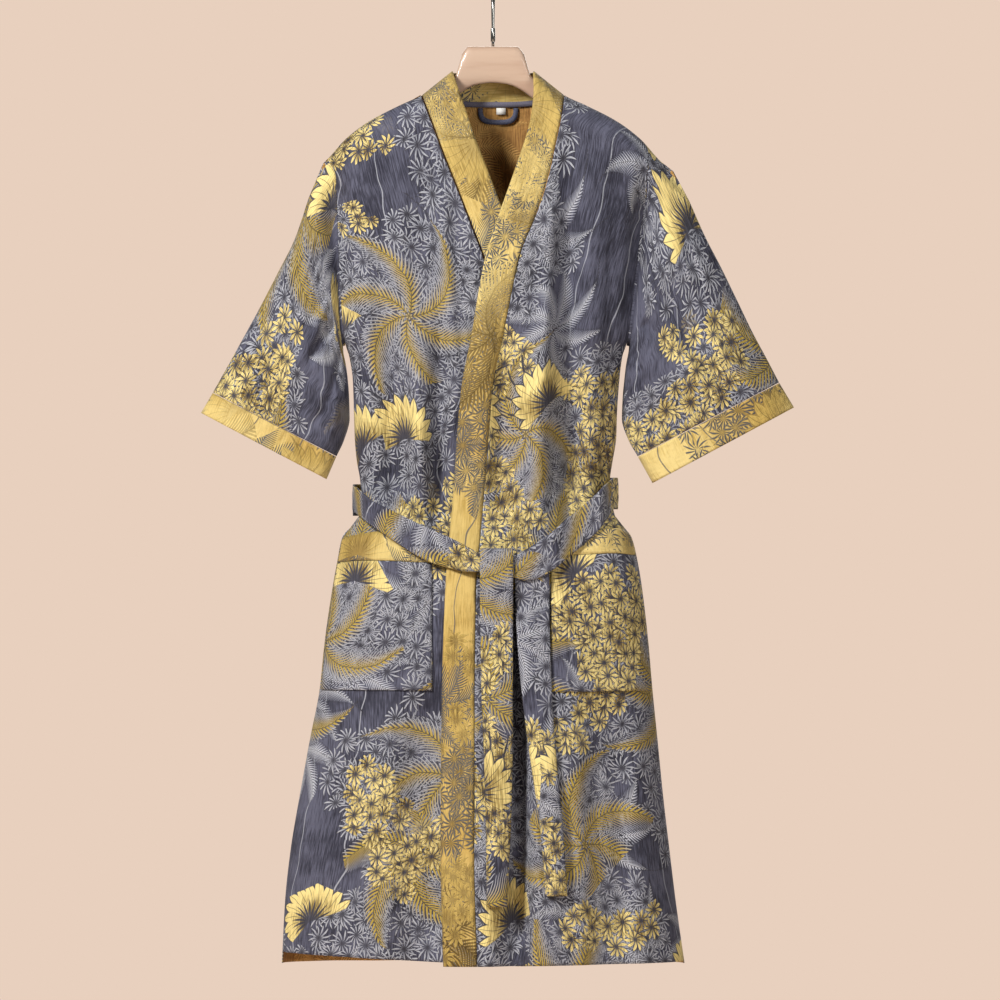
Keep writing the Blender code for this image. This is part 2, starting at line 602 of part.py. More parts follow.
def sleeve_ring(row, angle):
    """One flattened ring of a sleeve, with its top fold at angle 0."""
    top = np.array([row.top_x, 0, row.top_z])
    under = np.array([row.under_x, 0, row.under_z])
    along = np.sign(np.cos(angle)) * np.abs(np.cos(angle)) ** SLEEVE_POWER
    out = -np.sign(np.sin(angle)) * np.abs(np.sin(angle)) ** SLEEVE_POWER
    ripple = 1 + 0.10 * np.cos(3 * angle + 60 * row.top_x)
    ring = (top + under) / 2 + along[:, None] * (top - under) / 2
    ring[:, 1] = out * row.half_depth * ripple
    return ring


def outward_normals(grid):
    """Unit normals of a front piece's grid, towards the viewer."""
    normal = np.cross(np.gradient(grid, axis=0), np.gradient(grid, axis=1))
    normal = normal / np.linalg.norm(normal, axis=-1, keepdims=True)
    return np.where(normal[..., 1:2] > 0, -normal, normal)


def pocket_grids(pocket, panel):
    """Outer faces of a pocket's band and of its bag, made from its panel's points moved out."""
    rows = len(CROWN_DROPS) + len(CROWN_TO_LEVEL) + len(UPPER_LEVELS)
    count = len(pocket_rows(pocket))
    line = len(SIDE_SHARES) + SIDE_COLUMNS
    part = panel[rows : rows + count, POCKET_OUTER_COLUMN:line]
    normal = outward_normals(panel)[rows : rows + count, POCKET_OUTER_COLUMN:line]
    from_line = np.abs(part[..., 0] - pocket.inner_x)
    share = from_line / from_line[:, :1]
    down = np.clip((pocket.top - part[..., 2]) / (pocket.top - pocket.foot), 0, 1)
    hump = np.sin(math.pi * share ** (math.log(0.5) / math.log(pocket.gape_at)))
    gape = pocket.gape * np.clip(hump, 0, 1) ** 1.3 * (1 - down) ** 1.6
    face = part + normal * (PANEL_WALL + TOUCH_GAP + gape)[..., None]
    bag = face[2:].copy()
    bag[0, :, 2] -= SEAM_GAP
    return face[:3], bag


def dense(grid, parts=5):
    """A grid's points with straight steps between them, as one list of points."""
    for axis in (0, 1):
        grid = np.moveaxis(grid, axis, 0)
        place = np.linspace(0, len(grid) - 1, (len(grid) - 1) * parts + 1)
        low = np.minimum(place.astype(int), len(grid) - 2)
        share = (place - low)[:, None, None]
        grid = np.moveaxis(grid[low] * (1 - share) + grid[low + 1] * share, 0, axis)
    return grid.reshape(-1, 3)


def convex_outline(points):
    """Corners of the smallest convex outline round points in a plane, anticlockwise."""
    ordered = sorted(set(map(tuple, np.round(points, 5))))

    def chain(sequence):
        line = []
        for p in sequence:
            while len(line) > 1 and turn(line[-2], line[-1], p) <= 0:
                line.pop()
            line.append(p)
        return line[:-1]

    return np.array(chain(ordered) + chain(ordered[::-1]))


def turn(a, b, c):
    """Positive when a, b, c turn left."""
    return (b[0] - a[0]) * (c[1] - a[1]) - (b[1] - a[1]) * (c[0] - a[0])


def belt_height(front, x):
    """Height of the belt's middle over x, in front or behind."""
    side = np.where(x > 0, SIDE_HEIGHT_RIGHT, SIDE_HEIGHT_LEFT)
    width = np.where(x > 0, side_width(side, 1), side_width(side, -1))
    away = np.clip(np.abs(x) / width, 0, 1)
    middle = (SIDE_HEIGHT_LEFT + SIDE_HEIGHT_RIGHT) / 2 - BACK_SAG
    return np.where(front, column(BELT_FRONT, "x", "z", x), middle + (side - middle) * away**2)


def belt_grid(layers):
    """The belt's loop drawn tight round the layers: columns of a top, middle and bottom point."""
    under = np.concatenate([dense(layer) for layer in layers])
    height = belt_height(under[:, 1] < 0, under[:, 0])
    near = np.abs(under[:, 2] - height) < BELT_WIDTH / 2 + BELT_REACH
    corners = convex_outline(under[near, :2])
    ahead = np.roll(corners, -1, 0) - corners
    normal = np.stack([ahead[:, 1], -ahead[:, 0]], 1)
    normal = normal / np.linalg.norm(normal, axis=1, keepdims=True)
    reach = (normal * corners).sum(1) + BELT_WALL + BELT_GAP
    angle = np.linspace(0, 2 * math.pi, 20 * BELT_COLUMNS + 1)
    ray = np.stack([0.165 * np.cos(angle), -0.062 * np.sin(angle)], 1)
    facing = ray @ normal.T
    scale = np.where(facing > 1e-9, reach / np.maximum(facing, 1e-9), np.inf).min(1)
    ring = ray * scale[:, None]
    run = np.concatenate([[0], np.linalg.norm(np.diff(ring, axis=0), axis=1).cumsum()])
    place = np.linspace(0, run[-1], BELT_COLUMNS, endpoint=False)
    x, y = (np.interp(place, run, values) for values in ring.T)
    front = y < -1e-6
    half = np.where(front, column(BELT_FRONT, "x", "width", x), BELT_WIDTH) / 2
    y = y - KNOT_LIFT * (1 - step_up(0.050, 0.085, np.abs(x - 0.025))) * front
    z = belt_height(front, x)[:, None] + half[:, None] * np.array([1.0, 0.0, -1.0])
    return np.stack(np.broadcast_arrays(x[:, None], y[:, None], z), -1)


def end_rows(table, layers):
    """Places of a hanging end's rows, and the y at which each clears the layers behind it."""
    cloud = np.concatenate([dense(layer) for layer in layers])
    below = np.linspace(KNOT_END - 0.026, table[-1].z, END_ROWS - 2)
    z = np.concatenate([[table[0].z, KNOT_END], below])
    x, width, crown = (column(table, "z", name, z) for name in ("x", "width", "crown"))
    step = abs(z[3] - z[2])
    clear = []
    for row_x, row_z, row_width in zip(x, z, width):
        near = (np.abs(cloud[:, 0] - row_x) < row_width / 2 + 0.003)
        reach = step if row_z < KNOT_HEIGHT - 0.02 else step / 2
        near &= (np.abs(cloud[:, 2] - row_z) < reach) & (cloud[:, 1] < 0)
        clear.append(cloud[near, 1].min())
    return x, z, width, crown, np.array(clear) - BELT_WALL - TOUCH_GAP


def end_grid(x, z, width, crown, y):
    """A hanging belt end: rows down its length, columns across it."""
    across = np.linspace(-1, 1, END_COLUMNS)[None, :]
    points_x = x[:, None] + width[:, None] / 2 * across
    points_y = y[:, None] - crown[:, None] * (1 - across**2)
    return np.stack(np.broadcast_arrays(points_x, points_y, z[:, None]), -1)


def held_by_knot(belt, x, reach):
    """The loop's columns across a hanging end."""
    near = np.abs(belt[:, 0, 0] - x) < reach
    return belt[near & (belt[:, 0, 1] < 0)]


def front_end_grid(layers, belt):
    """The belt's end that comes up behind the loop, folds over it and hangs in front."""
    x, z, width, crown, clear = end_rows(FRONT_END, layers)
    held = held_by_knot(belt, x[0], width[0] / 2 + 0.020)
    behind = held[:, 1, 1].max() + 2 * BELT_WALL + TOUCH_GAP
    forward = held[:, 1, 1].min() - BELT_WALL - TOUCH_GAP
    over = held_by_knot(belt, x[0], width[0] / 2 + 0.010)[:, 0, 2].max()
    under = held[:, 2, 2].min()
    y = np.where(z > under - 0.02, forward, np.minimum(clear, forward + (under - z) * 0.10))
    bend = (behind - forward) / 2
    angle = np.linspace(0, math.pi, 5)
    fold = [(behind, under + 0.008)]
    fold += [(forward + bend + bend * math.cos(a), over + bend * math.sin(a)) for a in angle]
    fold_y, fold_z = np.array(fold).T
    ones = np.ones(len(fold))
    kept = z < over - 0.004
    return end_grid(
        np.concatenate([ones * x[0], x[kept]]),
        np.concatenate([fold_z, z[kept]]),
        np.concatenate([ones * width[0], width[kept]]),
        np.concatenate([ones * 0, crown[kept]]),
        np.concatenate([fold_y, y[kept]]),
    )


def back_end_grid(layers, belt):
    """The belt's end that comes out from under the loop and hangs beside the front one."""
    x, z, width, crown, clear = end_rows(BACK_END, layers)
    strip = end_grid(x, z, width, crown, clear)
    front = belt[belt[:, 0, 1] < 0, 0, :2]
    front = front[np.argsort(front[:, 0])]
    tucked = z > KNOT_END - 0.001
    held = np.interp(strip[tucked][..., 0], front[:, 0], front[:, 1])
    strip[tucked, :, 1] = held + BELT_WALL + 2 * TOUCH_GAP
    return strip


def tape_grid():
    """Neck tape on the inside of the back neck seam."""
    x = np.linspace(-TAPE_HALF_WIDTH, TAPE_HALF_WIDTH, 17)[None, :]
    z = np.array([TAPE_TOP, TAPE_FOOT])[:, None]
    rise = neck_height(x) - BACK_NECK_HEIGHT
    return back_point(x, z + rise, BAND_PROUD - BAND_WALL - TAPE_GAP)


def loop_grid():
    """Hanging loop inside the back neck, as a flat strip bent to a U."""
    angle = np.linspace(0, math.pi, 15)[:, None]
    reach = np.array([0.5, -0.5])[None, :] * LOOP_STRIP
    across = LOOP_HALF_WIDTH - LOOP_STRIP / 2 + reach
    down = LOOP_DROP - LOOP_STRIP / 2 + reach
    x = LOOP_CENTRE_X - across * np.sign(np.cos(angle)) * np.abs(np.cos(angle)) ** 0.6
    z = TAPE_FOOT - 2 * TOUCH_GAP - down * np.sin(angle) ** 0.6
    y = body_depth(x, z, 1).min() - PANEL_WALL - 2 * TOUCH_GAP
    return np.stack(np.broadcast_arrays(x, y, z), -1)


def label_grid():
    """Blank size label that hangs from the neck tape."""
    x = LABEL_CENTRE_X + np.array([-0.5, 0.5])[None, :] * LABEL_SIZE[0]
    z = TAPE_FOOT - 2 * TOUCH_GAP - np.array([0.0, 1.0])[:, None] * LABEL_SIZE[1]
    y = body_depth(x, z, 1).min() - PANEL_WALL - 2 * TOUCH_GAP
    return np.stack(np.broadcast_arrays(x, y, z), -1)


def hanger_rings():
    """Rounded sections of the hanger from its left tip to its right one."""
    angle = np.linspace(0, 2 * math.pi, HANGER_POINTS, endpoint=False)
    rows = [row._replace(x=-row.x) for row in HANGER[:0:-1]] + HANGER
    rings = []
    for row in rows:
        up = np.sign(np.sin(angle)) * np.abs(np.sin(angle)) ** 0.7
        out = np.sign(np.cos(angle)) * np.abs(np.cos(angle)) ** 0.7
        middle = (row.top + row.foot) / 2
        half = (row.top - row.foot) / 2
        ring = [(row.x, row.thickness / 2 * o, middle + half * u) for o, u in zip(out, up)]
        rings.append(np.array(ring))
    return rings


def hook_path():
    """Centre points and thicknesses of the hook, up its shank and over its bow."""
    bow = HOOK_INSIDE_RADIUS + HOOK_BOW_WIRE
    middle = -HOOK_INSIDE_RADIUS
    points = []
    for t in np.linspace(0, 1, 5):
        z = HOOK_FOOT + (FERRULE_TOP - HOOK_FOOT) * t
        points.append((0.0, z, HOOK_SHANK_WIRE))
    bend_foot = middle - bow - 0.016
    first = math.radians(-52)
    first_y, first_z = bow * math.cos(first), middle + bow * math.sin(first)
    for t in np.linspace(0.15, 0.9, 7):
        wire = HOOK_SHANK_WIRE + (HOOK_BOW_WIRE - HOOK_SHANK_WIRE) * t
        if t < 0.4:
            points.append((0.0, FERRULE_TOP + (bend_foot - FERRULE_TOP) * t / 0.4, wire))
            continue
        u = (t - 0.4) / 0.6
        y = 3 * u * u * (1 - u) * (first_y * 0.45) + u**3 * first_y
        z = bend_foot + (first_z - bend_foot) * (1 - (1 - u) ** 1.6 * (1 - 0.2 * u))
        points.append((y, z, wire))
    for turn in np.linspace(-52, 205, 22):
        a = math.radians(turn)
        points.append((bow * math.cos(a), middle + bow * math.sin(a), HOOK_BOW_WIRE))
    return points


def finish_material(name):
    """The material of a finish, made once."""
    found = bpy.data.materials.get(name)
    if found:
        return found
    finish = FINISHES[name]
    made = bpy.data.materials.new(name)
    made.use_nodes = True
    shader = made.node_tree.nodes["Principled BSDF"]
    shader.inputs["Base Color"].default_value = (*finish.colour, 1.0)
    shader.inputs["Roughness"].default_value = finish.roughness
    shader.inputs["Metallic"].default_value = finish.metallic
    made.diffuse_color = (*finish.colour, 1.0)
    return made


def add_object(name, data, finish, collection):
    """Links a new object with its finish."""
    made = bpy.data.objects.new(name, data)
    made.data.materials.append(finish_material(finish))
    collection.objects.link(made)
    return made


def loft(name, grid, closed, capped):
    """A mesh of the quads between the rows of a grid, joined round when closed."""
    mesh = bpy.data.meshes.new(name)
    shape = bmesh.new()
    rows = [[shape.verts.new(point) for point in row] for row in grid]
    count = len(rows[0])
    spans = range(count if closed else count - 1)
    for upper, lower in zip(rows, rows[1:]):
        for j in spans:
            k = (j + 1) % count
            shape.faces.new((upper[j], lower[j], lower[k], upper[k]))
    if capped:
        shape.faces.new(rows[0])
        shape.faces.new(rows[-1][::-1])
    shape.to_mesh(mesh)
    shape.free()
    return mesh


def flip(mesh):
    """Turns a sheet's faces over."""
    shape = bmesh.new()
    shape.from_mesh(mesh)
    bmesh.ops.reverse_faces(shape, faces=shape.faces)
    shape.to_mesh(mesh)
    shape.free()


def cloth(name, grid, wall, finish, collection, outside, closed=False):
    """A cloth piece: a sheet through the grid's points, with its wall inside it.

    outside gives a direction out of the cloth at a face's centre.
    """
    mesh = loft(name, grid, closed, capped=False)
    mesh.update()
    sample = mesh.polygons[len(mesh.polygons) // 2]
    if sample.normal.dot(Vector(outside(sample.center))) < 0:
        flip(mesh)
    mesh.shade_smooth()
    made = add_object(name, mesh, finish, collection)
    solid = made.modifiers.new("Wall", "SOLIDIFY")
    solid.thickness = wall
    solid.offset = -1
    solid.use_rim = True
    return made


def solid_of_rings(name, rings, finish, collection):
    """A closed solid through a row of rings."""
    mesh = loft(name, rings, closed=True, capped=True)
    shape = bmesh.new()
    shape.from_mesh(mesh)
    bmesh.ops.recalc_face_normals(shape, faces=shape.faces)
    shape.to_mesh(mesh)
    shape.free()
    mesh.shade_smooth()
    return add_object(name, mesh, finish, collection)


def make_hook(collection):
    """The hook as a curve with filled caps, thicker in its bow than in its shank."""
    curve = bpy.data.curves.new("hook", "CURVE")
    curve.dimensions = "3D"
    curve.bevel_depth = 1.0
    curve.bevel_resolution = 2
    curve.use_fill_caps = True
    path = hook_path()
    line = curve.splines.new("POLY")
    line.points.add(len(path) - 1)
    for point, (y, z, wire) in zip(line.points, path):
        point.co = (0.0, y, z, 1.0)
        point.radius = wire
    return add_object("hook", curve, "hook_steel", collection)


def make_ferrule(collection):
    """The ferrule round the shank: a turned tube."""
    inside, outside = FERRULE_BORE, FERRULE_RADIUS
    profile = [
        (outside, FERRULE_TOP - 0.0006),
        (outside, FERRULE_FOOT),
        (inside, FERRULE_FOOT),
        (inside, FERRULE_TOP - 0.0006),
    ]
    mesh = bpy.data.meshes.new("hook_ferrule")
    mesh.from_pydata([(x, 0, z) for x, z in profile], [(0, 1), (1, 2), (2, 3), (3, 0)], [])
    made = add_object("hook_ferrule", mesh, "hook_steel", collection)
    turned = made.modifiers.new("Turned", "SCREW")
    turned.steps = 20
    turned.render_steps = 20
    turned.use_merge_vertices = True
    turned.merge_threshold = 0.00001
    return made


def front_way(centre):
    """Out of the cloth on the front."""
    return (0, -1, 0)


def back_way(centre):
    """Out of the cloth on the back."""
    return (0, 1, 0)


def away_from(x, y, z):
    """Out of a tube whose middle is at a point."""
    return lambda centre: (centre[0] - x, centre[1] - y, centre[2] - z)


def make_sleeve(side, table, front, back, collection):
    """A sleeve and its cuff."""
    rings = sleeve_rings(table, front, back)
    last = table[-2]
    end = table[-1]
    middle = ((table[3].top_x + table[3].under_x) / 2, 0, (table[3].top_z + table[3].under_z) / 2)
    cloth(f"sleeve_{side}", rings[:-1], PANEL_WALL, "slate_jacquard", collection,
          away_from(*middle), closed=True)
    way = np.array([end.top_x - last.top_x, 0, end.top_z - last.top_z])
    step = way / np.linalg.norm(way) * CUFF_GAP
    seam = rings[-2] + step
    cuff = [seam, (seam + rings[-1]) / 2, rings[-1]]
    middle = ((end.top_x + end.under_x) / 2, 0, (end.top_z + end.under_z) / 2)
    cloth(f"cuff_{side}", cuff, PANEL_WALL, "gold_jacquard", collection,
          away_from(*middle), closed=True)


def make_pocket(side, grids, collection):
    """A patch pocket and the band along its mouth."""
    band, bag = grids
    cloth(f"pocket_{side}", bag, PANEL_WALL, "slate_jacquard", collection, front_way)
    cloth(f"pocket_band_{side}", band, PANEL_WALL, "gold_jacquard", collection, front_way)


def main():
    """Clears the scene and makes every piece."""
    for old in list(bpy.data.objects):
        bpy.data.objects.remove(old)
    robe = bpy.data.collections.new("kimono_robe_on_hanger")
    bpy.context.scene.collection.children.link(robe)

    under = front_grid(lapping=False)
    over = front_grid(lapping=True)
    back = back_grid()
    neckband = neckband_grid(under, over, back)
    left_pocket = pocket_grids(LEFT_POCKET, under)
    right_pocket = pocket_grids(RIGHT_POCKET, over)
    layers = [under, over, back, neckband, *left_pocket, *right_pocket]
    belt = belt_grid(layers)
    cloth("front_under", under, PANEL_WALL, "slate_jacquard", robe, front_way)
    cloth("front_lapping", over, PANEL_WALL, "slate_jacquard", robe, front_way)
    cloth("back", back, PANEL_WALL, "slate_jacquard", robe, back_way)
    cloth("neckband", neckband, BAND_WALL, "gold_jacquard", robe, back_way)
    make_sleeve("left", LEFT_SLEEVE, under, back, robe)
    make_sleeve("right", RIGHT_SLEEVE, over, back[:, ::-1], robe)
    make_pocket("left", left_pocket, robe)
    make_pocket("right", right_pocket, robe)
    cloth("belt_loop_round_waist", belt.transpose(1, 0, 2), BELT_WALL, "slate_jacquard", robe,
          away_from(0, 0, KNOT_HEIGHT), closed=True)
    cloth("belt_end_front", front_end_grid(layers, belt), BELT_WALL, "slate_jacquard", robe,
          front_way)
    cloth("belt_end_back", back_end_grid(layers, belt), BELT_WALL, "slate_jacquard", robe, front_way)
    cloth("neck_tape", tape_grid(), TRIM_WALL, "tape", robe, back_way)
    cloth("hanging_loop", loop_grid(), TRIM_WALL, "slate_jacquard", robe, back_way)
    cloth("size_label", label_grid(), TRIM_WALL, "label", robe, back_way)
    solid_of_rings("hanger", hanger_rings(), "hanger_wood", robe)
    make_hook(robe)
    make_ferrule(robe)


main()
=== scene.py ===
"""Looks of a kimono robe of woven cotton on a wooden hanger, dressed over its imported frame.

Metres, +Z up, the robe's front faces -Y, and the origin is the inside top of the hanger's hook.
"""

import logging
import math
from collections import namedtuple
from dataclasses import dataclass, field
from enum import Enum
from typing import Any, Callable, Sequence

import bmesh
import bpy
import numpy as np
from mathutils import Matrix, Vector


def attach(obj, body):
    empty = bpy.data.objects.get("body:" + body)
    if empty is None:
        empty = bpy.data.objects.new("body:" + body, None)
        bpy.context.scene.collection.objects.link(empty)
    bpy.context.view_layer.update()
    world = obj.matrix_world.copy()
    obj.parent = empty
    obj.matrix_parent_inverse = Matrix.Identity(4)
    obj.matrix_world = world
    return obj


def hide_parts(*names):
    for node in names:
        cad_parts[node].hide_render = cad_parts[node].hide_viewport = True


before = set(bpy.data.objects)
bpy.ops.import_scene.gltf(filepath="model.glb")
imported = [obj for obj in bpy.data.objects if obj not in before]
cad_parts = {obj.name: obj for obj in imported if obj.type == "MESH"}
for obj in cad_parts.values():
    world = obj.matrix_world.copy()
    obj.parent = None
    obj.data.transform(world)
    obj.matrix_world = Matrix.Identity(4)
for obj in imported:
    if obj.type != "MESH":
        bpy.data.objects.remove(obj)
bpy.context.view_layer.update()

LOG = logging.getLogger("kimono_robe")
Array = np.ndarray
Numbers = Any
Colour = tuple[float, float, float]
Socket = bpy.types.NodeSocket

# Cloth thicknesses and the gaps kept between pieces
PANEL_WALL = 0.002
BAND_WALL = 0.003
BELT_WALL = 0.003
SEAM_GAP = 0.0006
TOUCH_GAP = 0.0004
EVEN = 1e-6

# Rounding of the body's level sections, and the lap of one front over the other
SIDE_POWER = 2.6
SIDE_ROOT = 1 / 2.2
SHOULDER_CROWN = 0.03
ARMHOLE_FULLNESS = 0.016
ARMHOLE_ROUNDING = 0.12
LAP_LIFT = 0.0062
LAP_TOP = -0.19
LAP_FULL = -0.29
LAP_FLAT_TO = 0.088
LAP_GONE_AT = 0.15
UNDER_SINK = 0.0035
UNDER_SINK_OVER = 0.12
UNDER_SINK_FROM = -0.080
UNDER_SINK_FULL = -0.020
UNDER_GAP = 0.0010
SLANT_GAP = 0.0011
SLANT_FOOT = -0.40
BAND_PROUD = 0.0006

NECK_POINT = (0.0916, -0.1677)
BACK_NECK_HEIGHT = -0.1793
LEFT_TIP = (-0.2167, -0.2528)
RIGHT_TIP = (0.2296, -0.2632)
UNDERARM_HEIGHT = -0.4915
FRONT_HEM_CENTRE = -1.2913
FRONT_HEM_LEFT = -1.2755
FRONT_HEM_RIGHT = -1.2875
BACK_HEM = -1.2905


def table_of(kind: Any, *rows: Sequence[float]) -> list[Any]:
    """A table's rows as records of one kind."""
    return [kind(*row) for row in rows]


Level = namedtuple("Level", "z left right front back")
LEVELS = table_of(
    Level,
    (-1.300, 0.2738, 0.2492, 0.103, 0.095), (-1.2075, 0.2690, 0.2361, 0.099, 0.092),
    (-1.1430, 0.2619, 0.2283, 0.096, 0.089), (-1.0780, 0.2510, 0.2206, 0.093, 0.085),
    (-1.0010, 0.2370, 0.2129, 0.089, 0.081), (-0.9365, 0.2245, 0.2064, 0.085, 0.077),
    (-0.8747, 0.2180, 0.2010, 0.080, 0.072), (-0.8060, 0.2080, 0.1930, 0.072, 0.064),
    (-0.7700, 0.2015, 0.1870, 0.066, 0.058), (-0.7390, 0.1950, 0.1790, 0.059, 0.052),
    (-0.7185, 0.1765, 0.1605, 0.054, 0.048), (-0.7050, 0.1715, 0.1560, 0.052, 0.047),
    (-0.6850, 0.1705, 0.1510, 0.052, 0.047), (-0.6644, 0.1722, 0.1515, 0.055, 0.049),
    (-0.6400, 0.1765, 0.1550, 0.058, 0.052), (-0.6115, 0.1790, 0.1595, 0.061, 0.055),
    (-0.5805, 0.1800, 0.1605, 0.063, 0.057), (-0.5366, 0.1815, 0.1635, 0.064, 0.058),
    (-0.5050, 0.1862, 0.1675, 0.064, 0.058), (-0.4915, 0.1905, 0.1720, 0.064, 0.058),
    (-0.4600, 0.1945, 0.1770, 0.063, 0.057), (-0.3844, 0.1993, 0.1858, 0.057, 0.052),
    (-0.2928, 0.2025, 0.2000, 0.048, 0.044), (-0.2632, 0.2105, 0.2296, 0.042, 0.039),
    (-0.2528, 0.2167, 0.2360, 0.040, 0.037), (-0.1900, 0.2300, 0.2400, 0.034, 0.033),
    (-0.1300, 0.2300, 0.2400, 0.028, 0.029),
)

RidgePoint = namedtuple("RidgePoint", "x z")
RIDGE = table_of(
    RidgePoint,
    (0.0000, -0.0945), (0.0529, -0.1367), (0.0916, -0.1677), (0.1200, -0.1805), (0.1600, -0.2010),
    (0.1900, -0.2235), (0.2167, -0.2528), (0.2296, -0.2632), (0.2600, -0.3000),
)

BandRow = namedtuple("BandRow", "seam_x seam_z free_x free_z")
LAPPING_BAND = table_of(
    BandRow,
    (0.0916, -0.1677, 0.0529, -0.1367), (0.0893, -0.1860, 0.0522, -0.1640),
    (0.0826, -0.2206, 0.0490, -0.1950), (0.0684, -0.2825, 0.0265, -0.2690),
    (0.0516, -0.3315, 0.0095, -0.3170), (0.0353, -0.3708, -0.0055, -0.3590),
    (0.0245, -0.4205, -0.0170, -0.4130), (0.0108, -0.4890, -0.0290, -0.4850),
    (0.0000, -0.5418, -0.0394, -0.5366), (-0.0052, -0.6011, -0.0458, -0.5985),
    (-0.0124, -0.6914, -0.0519, -0.6914), (-0.0170, -0.7430, -0.0571, -0.7430),
    (-0.0219, -0.8024, -0.0613, -0.8024), (-0.0240, -0.9500, -0.0660, -0.9500),
    (-0.0242, -1.1550, -0.0675, -1.1550), (-0.0205, -1.2913, -0.0640, -1.2913),
)
UNDER_BAND = table_of(
    BandRow,
    (-0.0916, -0.1677, -0.0529, -0.1367), (-0.0787, -0.2012, -0.0387, -0.1767),
    (-0.0645, -0.2399, -0.0245, -0.2193), (-0.0490, -0.2786, -0.0090, -0.2593),
    (-0.0271, -0.3354, 0.0135, -0.3190), (-0.0065, -0.3909, 0.0348, -0.3741),
    (0.0129, -0.4721, 0.0555, -0.4566), (0.0245, -0.5624, 0.0671, -0.5495),
    (0.0310, -0.6527, 0.0740, -0.6450), (0.0348, -0.7430, 0.0774, -0.7430),
    (0.0348, -1.0000, 0.0774, -1.0000), (0.0348, -1.2890, 0.0774, -1.2890),
)

# Folds: a ridge where rise is positive, a trough where it is negative
Fold = namedtuple("Fold", "top_x top_z bottom_x bottom_z width rise")
FRONT_FOLDS = table_of(
    Fold,
    (0.098, -0.20, 0.090, -0.62, 0.013, -0.0050), (0.125, -0.22, 0.120, -0.60, 0.015, 0.0045),
    (-0.085, -0.22, -0.100, -0.56, 0.015, -0.0045), (-0.118, -0.24, -0.125, -0.60, 0.016, 0.0050),
    (0.112, -0.50, 0.094, -0.73, 0.013, -0.0120), (0.135, -0.52, 0.128, -0.74, 0.011, 0.0060),
    (0.060, -0.54, 0.050, -0.74, 0.012, 0.0055), (-0.135, -0.52, -0.125, -0.74, 0.014, -0.0085),
    (-0.093, -0.54, -0.092, -0.75, 0.012, 0.0065), (-0.070, -0.56, -0.071, -0.75, 0.008, -0.0050),
    (0.040, -0.82, 0.024, -1.31, 0.017, -0.0170), (0.070, -0.95, 0.078, -1.34, 0.022, 0.0090),
    (0.135, -0.93, 0.150, -1.34, 0.022, -0.0085), (0.185, -1.00, 0.195, -1.34, 0.018, 0.0060),
    (-0.095, -0.92, -0.105, -1.34, 0.017, -0.0090), (-0.145, -0.95, -0.165, -1.34, 0.020, 0.0085),
    (-0.195, -1.02, -0.222, -1.34, 0.018, -0.0070),
)
BACK_FOLDS = table_of(
    Fold,
    (-0.090, -0.20, -0.105, -0.64, 0.018, 0.0060), (-0.045, -0.22, -0.055, -0.66, 0.017, -0.0055),
    (0.010, -0.20, 0.000, -0.66, 0.018, 0.0045), (0.070, -0.21, 0.085, -0.64, 0.018, -0.0055),
    (0.120, -0.25, 0.118, -0.64, 0.016, 0.0050), (-0.125, -0.56, -0.120, -0.76, 0.012, -0.0075),
    (-0.075, -0.55, -0.080, -0.78, 0.012, 0.0070), (-0.030, -0.56, -0.025, -0.78, 0.012, -0.0065),
    (0.028, -0.55, 0.030, -0.78, 0.013, 0.0065), (0.080, -0.56, 0.078, -0.78, 0.012, -0.0070),
    (-0.190, -0.74, -0.215, -1.36, 0.020, 0.0075), (-0.130, -0.72, -0.150, -1.36, 0.022, -0.0110),
    (-0.070, -0.72, -0.078, -1.36, 0.023, 0.0120), (0.000, -0.72, -0.004, -1.36, 0.024, -0.0125),
    (0.070, -0.72, 0.078, -1.36, 0.023, 0.0115), (0.130, -0.72, 0.150, -1.36, 0.022, -0.0100),
    (0.180, -0.76, 0.205, -1.36, 0.018, 0.0070),
)
FOLD_FADE = 0.10
FOLD_GAIN = 1.6
FOLD_LOSS = 0.5

